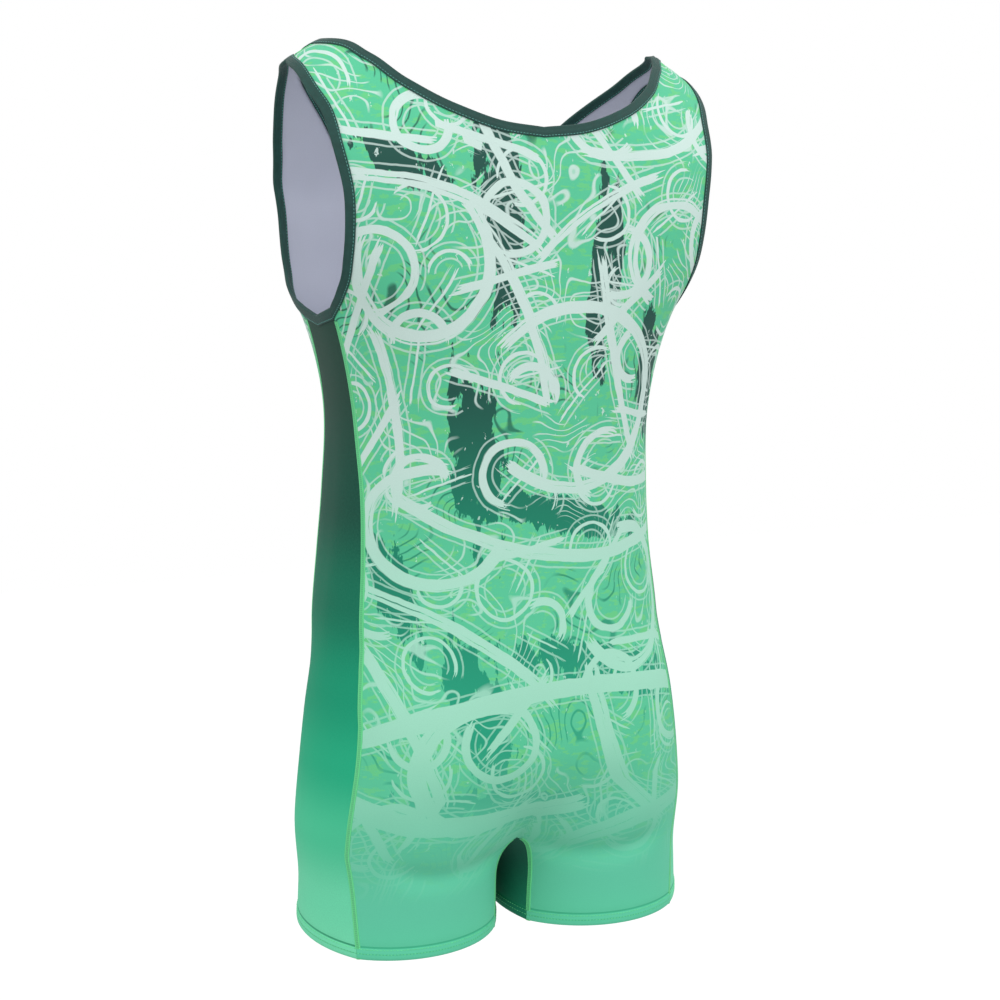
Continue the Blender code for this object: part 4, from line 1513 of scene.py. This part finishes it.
def row_on_tape(edge, inner, lap, side):
    """Line of a stitch row along a binding, on its outer (1) or inner (-1) face."""
    lift = WALL / 2 + FOLD_GAP + TAPE
    return tape_points(edge, inner, [(lap, side * lift)])[:, 0]


def one_stitch():
    """Corners and facets of one short stitch, a metre long and thick, lying along X."""
    shape = bmesh.new()
    bmesh.ops.create_uvsphere(shape, u_segments=6, v_segments=5, radius=0.5)
    bmesh.ops.rotate(shape, verts=shape.verts, cent=(0.0, 0.0, 0.0),
                     matrix=Matrix.Rotation(math.radians(90), 3, "Y"))
    bmesh.ops.recalc_face_normals(shape, faces=shape.faces)
    shape.verts.index_update()
    corners = np.array([tuple(v.co) for v in shape.verts])
    faces = [tuple(v.index for v in face.verts) for face in shape.faces]
    shape.free()
    return corners, faces


def stitch_row(line, out):
    """Stitches laid end to end along a line, as points and facets."""
    _, thread = settings()
    corners, facets = one_stitch()
    lengths = measure(line)
    count = max(2, int(lengths[-1] / thread.pitch))
    at = (np.arange(count) + 0.5) * lengths[-1] / count
    middle = points_at(at, line)
    up = np.stack([np.interp(at, lengths, out[:, k]) for k in range(3)], -1)
    along = points_at(at + STITCH_REACH, line) - points_at(at - STITCH_REACH, line)
    along /= np.linalg.norm(along, axis=1)[:, None]
    side = np.cross(up, along)
    side /= np.linalg.norm(side, axis=1)[:, None]
    rise = np.cross(along, side)
    points = (middle[:, None]
              + corners[None, :, :1] * along[:, None] * thread.pitch * STITCH_SHARE
              + corners[None, :, 1:2] * side[:, None] * thread.thickness
              + corners[None, :, 2:] * rise[:, None] * thread.thickness)
    size = len(corners)
    faces = [tuple(k + n * size for k in face) for n in range(count) for face in facets]
    return points.reshape(-1, 3), faces


def join_rows(rows):
    """Many sets of points and facets as one, with a plain flat place for each point."""
    points, faces, count = [], [], 0
    for row_points, row_faces in rows:
        points.append(row_points)
        faces += [tuple(k + count for k in face) for face in row_faces]
        count += len(row_points)
    points = np.concatenate(points)
    return points, faces, points[:, [0, 2]]


def both_sides(rows):
    """Rows and their mirror images."""
    return rows + [mirror_image(points, faces) for points, faces in rows]


def seam_strip(line, inside, side):
    """Flat seam along a line: a low arched band, on the outer (1) or inner (-1) face."""
    _, thread = settings()
    lengths = measure(line)
    rows, places = [], []
    across = inward(line, inside)
    for share, lift in SEAM_SECTION:
        laid = settle(line + across * share * thread.seam_width)
        rows.append(laid + normals(laid) * side * (WALL / 2 + lift))
        places.append(np.stack([lengths, np.full(len(line), share - SEAM_SECTION[0][0])], -1))
    points = np.stack(rows, axis=1).reshape(-1, 3)
    places = np.stack(places, axis=1).reshape(-1, 2)
    size = len(SEAM_SECTION)
    faces = [(k * size + j, k * size + j + 1, (k + 1) * size + j + 1, (k + 1) * size + j)
             for k in range(len(line) - 1) for j in range(size - 1)]
    return points, faces, places


class SINGLET_OT_printed(bpy.types.Operator):
    """Cut the printed back and front"""
    bl_idname = "singlet.printed"
    bl_label = "Back and front"

    def execute(self, context):
        lining = lining_material()
        for name, way, tables, size, area in (
                ("back_panel", 1, (BACK_PALE_BARS, BACK_PALE_ARCS, BACK_DARK, 0.0),
                 (0.45, 0.76), 0.226),
                ("front_panel", -1, (FRONT_PALE_BARS, FRONT_PALE_ARCS, FRONT_DARK, 0.03),
                 (0.44, 0.73), 0.219)):
            panel = half_panel(way)[0].mirrored()
            material = printed_material("printed_cloth_" + name, *tables)
            piece = cut_piece(name, name.split("_")[0], panel, Pattern(way),
                              [material, lining])
        return {"FINISHED"}


class SINGLET_OT_sides(bpy.types.Operator):
    """Cut the two side panels"""
    bl_idname = "singlet.sides"
    bl_label = "Side panels"

    def execute(self, context):
        cloth, _ = settings()
        stops = [(0.0, cloth.side_top), (0.36, tone(38, 70, 60)), (0.50, tone(20, 80, 65)),
                 (0.60, tone(10, 118, 90)), (0.70, tone(12, 158, 118)), (0.78, tone(34, 184, 137)),
                 (0.86, tone(80, 212, 162)), (0.93, tone(116, 230, 183)), (1.0, cloth.side_low)]
        material = graded_material("side_cloth", stops, 0.10, 0.04)
        lining = lining_material()
        left, _ = side_panel()
        for name, node, mirrored in (("side_panel_left", "side_left", False),
                                     ("side_panel_right", "side_right", True)):
            points, faces, linings, places, above = left.sheet(Pattern(1))
            if mirrored:
                points, faces = mirror_image(points, faces)
            piece = to_piece(name, points, faces, places, linings, [material, lining], above)
            keep_edges_crisp(piece)
            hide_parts(node)
        return {"FINISHED"}


class SINGLET_OT_gusset(bpy.types.Operator):
    """Cut the gusset between the legs"""
    bl_idname = "singlet.gusset"
    bl_label = "Gusset"

    def execute(self, context):
        cloth, _ = settings()
        material = graded_material("gusset_cloth", [(0.0, cloth.gusset), (0.90, tone(28, 92, 76)),
                                                    (1.0, tone(12, 132, 98))], 0.08, 0.04)
        piece = cut_piece("gusset_panel", "gusset", gusset_half().mirrored(), Pattern(1),
                          [material, lining_material()])
        return {"FINISHED"}


class SINGLET_OT_bindings(bpy.types.Operator):
    """Fold the tapes over the neckline and the armholes"""
    bl_idname = "singlet.bindings"
    bl_label = "Bindings"

    def execute(self, context):
        material = tape_material()
        runs = {way: half_panel(way)[1:] for way in (1, -1)}
        foot = side_panel()[1]
        neck = [runs[1][0], runs[-1][0]]
        arm = [runs[1][1], foot, runs[-1][1]]
        points, faces, places = tape(neck)
        left = len(points)
        points = np.concatenate([points, points * OTHER_SIDE])
        faces = faces + [tuple(k + left for k in reversed(face)) for face in faces]
        self.finish(material, "neck_tape", "neck_binding", points, faces,
                    np.concatenate([places, places]), 0.80)
        points, faces, places = tape(arm)
        self.finish(material, "armhole_tape_left", "armhole_binding_left", points, faces, places,
                    0.62)
        points, faces = mirror_image(points, faces)
        self.finish(material, "armhole_tape_right", "armhole_binding_right", points, faces,
                    places, 0.62)
        return {"FINISHED"}

    def finish(self, material, name, node, points, faces, places, length):
        """Make one binding in the place of its solid."""
        piece = to_piece(name, points, faces, places, [0] * len(faces), [material])
        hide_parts(node)


class SINGLET_OT_seams(bpy.types.Operator):
    """Sew the flat seams down the sides, round the gusset and over the shoulders"""
    bl_idname = "singlet.seams"
    bl_label = "Flat seams"

    def execute(self, context):
        material = seam_material()
        for way, word in ((1, "back"), (-1, "front")):
            facing = np.array([1.0, way, 1.0])
            lines = {"side": (side_seam(way)[1:], SEAM_INSIDE * facing),
                     "gusset": (gusset_seam(way)[1:], GUSSET_INSIDE * facing)}
            if way > 0:
                lines["shoulder"] = (shoulder_seam()[1:-1], RIDGE_INSIDE)
            for kind, (line, inside) in lines.items():
                rows, places = [], []
                for side in (1, -1):
                    points, faces, place = seam_strip(line, inside, side)
                    rows += both_sides([(points, faces)])
                    places += [place, place]
                points, faces, _ = join_rows(rows)
                piece = to_piece(f"{kind}_seam_{word}", points, faces, np.concatenate(places),
                                 [0] * len(faces), [material])
        return {"FINISHED"}


class SINGLET_OT_stitches(bpy.types.Operator):
    """Stitch the hems and the bindings"""
    bl_idname = "singlet.stitches"
    bl_label = "Stitches"

    def execute(self, context):
        _, thread = settings()
        rows = []
        runs = {way: half_panel(way)[1:] for way in (1, -1)}
        foot = side_panel()[1]
        for edge, inner in (runs[1][0], runs[-1][0], runs[1][1], foot, runs[-1][1]):
            for lap in BINDING_ROWS:
                for side in (1, -1):
                    line = row_on_tape(edge, inner, lap, side)
                    rows.append(stitch_row(line, normals(edge)))
        points, faces, places = join_rows(both_sides(rows))
        piece = to_piece("binding_stitches", points, faces, places, [0] * len(faces),
                         [thread_material("binding_thread", thread.tape)])
        rows = []
        for mark in HEM_ROWS:
            ends = {way: [points_at(mark, seam(way)[::-1]) for seam in (side_seam, gusset_seam)]
                    for way in (1, -1)}
            for line in (across_leg(*ends[1], 1, HEM_ROW_SPANS["leg"]),
                         across_leg(*ends[-1], -1, HEM_ROW_SPANS["leg"]),
                         across_leg(ends[-1][0], ends[1][0], 1, HEM_ROW_SPANS["side"]),
                         settle(np.linspace(ends[1][1], ends[-1][1], HEM_ROW_SPANS["gusset"]))):
                out = normals(line)
                rows.append(stitch_row(line + out * (WALL / 2 + HEM_ROW_LIFT), out))
        points, faces, places = join_rows(both_sides(rows))
        piece = to_piece("hem_stitches", points, faces, places, [0] * len(faces),
                         [thread_material("hem_thread", thread.seam)])
        return {"FINISHED"}


class SINGLET_OT_stage(bpy.types.Operator):
    """Set the pale floor, the soft light and the camera"""
    bl_idname = "singlet.stage"
    bl_label = "Floor, light and camera"

    def execute(self, context):
        studio = context.scene.singlet_studio
        shape = bmesh.new()
        bmesh.ops.create_grid(shape, x_segments=2, y_segments=2, size=FLOOR_HALF)
        mesh = bpy.data.meshes.new("floor")
        bmesh.ops.translate(shape, verts=shape.verts, vec=(0.0, 0.0, FLOOR_HEIGHT))
        shape.to_mesh(mesh)
        shape.free()
        material, tree, shader = new_material("floor_paint", 0.9, gloss=0.0)
        shader.inputs["Base Color"].default_value = (*studio.floor, 1.0)
        shader.inputs["Emission Color"].default_value = (1.0, 1.0, 1.0, 1.0)
        seen = tree.nodes.new("ShaderNodeLightPath").outputs["Is Camera Ray"]
        feed(tree, shader.inputs["Emission Strength"], times(tree, seen, studio.glow))
        mesh.materials.append(material)
        floor = bpy.data.objects.new("floor", mesh)
        context.scene.collection.objects.link(floor)

        world = bpy.data.worlds.new("room")
        world.use_nodes = True
        background = world.node_tree.nodes["Background"]
        background.inputs["Color"].default_value = (1.0, 1.0, 1.0, 1.0)
        tree = world.node_tree
        seen = tree.nodes.new("ShaderNodeLightPath").outputs["Is Camera Ray"]
        ahead = tree.nodes.new("ShaderNodeTexCoord").outputs["Generated"]
        _, _, up = split(tree, ahead)
        light = times(tree, span(tree, up, *ROOM_FADE), studio.sky)
        feed(tree, background.inputs["Strength"], larger(tree, seen, light))
        context.scene.world = world

        for name, (place, size, share) in LIGHTS.items():
            lamp = bpy.data.lights.new(name, "AREA")
            lamp.energy = studio.key * share
            lamp.size = size
            stand = bpy.data.objects.new(name, lamp)
            stand.location = place
            aim = Vector(LIGHT_AIM) - Vector(place)
            stand.rotation_euler = aim.to_track_quat("-Z", "Y").to_euler()
            context.scene.collection.objects.link(stand)

        camera = bpy.data.cameras.new("camera")
        camera.lens = studio.focal
        camera.sensor_width = SENSOR
        camera.shift_x = CAMERA_SHIFT
        eye = bpy.data.objects.new("camera", camera)
        eye.location = CAMERA_PLACE
        eye.rotation_euler = (math.radians(CAMERA_TILT), 0.0, math.radians(CAMERA_TURN))
        context.scene.collection.objects.link(eye)
        context.scene.camera = eye
        context.scene.view_settings.view_transform = "Standard"
        return {"FINISHED"}


class SINGLET_PT_panel(bpy.types.Panel):
    """Lists the pieces of the singlet"""
    bl_label = "Singlet"
    bl_idname = "SINGLET_PT_panel"
    bl_space_type = "VIEW_3D"
    bl_region_type = "UI"
    bl_category = "Singlet"

    def draw(self, context):
        for operator in OPERATORS:
            self.layout.operator(operator.bl_idname)
        for name in SETTINGS:
            group = getattr(context.scene, name)
            for label in group.__annotations__:
                self.layout.prop(group, label)


OPERATORS = (SINGLET_OT_printed, SINGLET_OT_sides, SINGLET_OT_gusset, SINGLET_OT_bindings,
             SINGLET_OT_seams, SINGLET_OT_stitches, SINGLET_OT_stage)
SETTINGS = {"singlet_cloth": SingletCloth, "singlet_thread": SingletThread,
            "singlet_studio": SingletStudio}


def register():
    """Make the classes and the settings known."""
    for kind in (*SETTINGS.values(), *OPERATORS, SINGLET_PT_panel):
        bpy.utils.register_class(kind)
    for name, kind in SETTINGS.items():
        setattr(bpy.types.Scene, name, PointerProperty(type=kind))


def unregister():
    """Take the settings and the classes away again."""
    for name in SETTINGS:
        delattr(bpy.types.Scene, name)
    for kind in (SINGLET_PT_panel, *reversed(OPERATORS), *SETTINGS.values()):
        bpy.utils.unregister_class(kind)


def main():
    """Sew the whole garment and set the stage."""
    register()
    for operator in OPERATORS:
        group, name = operator.bl_idname.split(".")
        getattr(getattr(bpy.ops, group), name)()


if __name__ == "__main__":
    main()
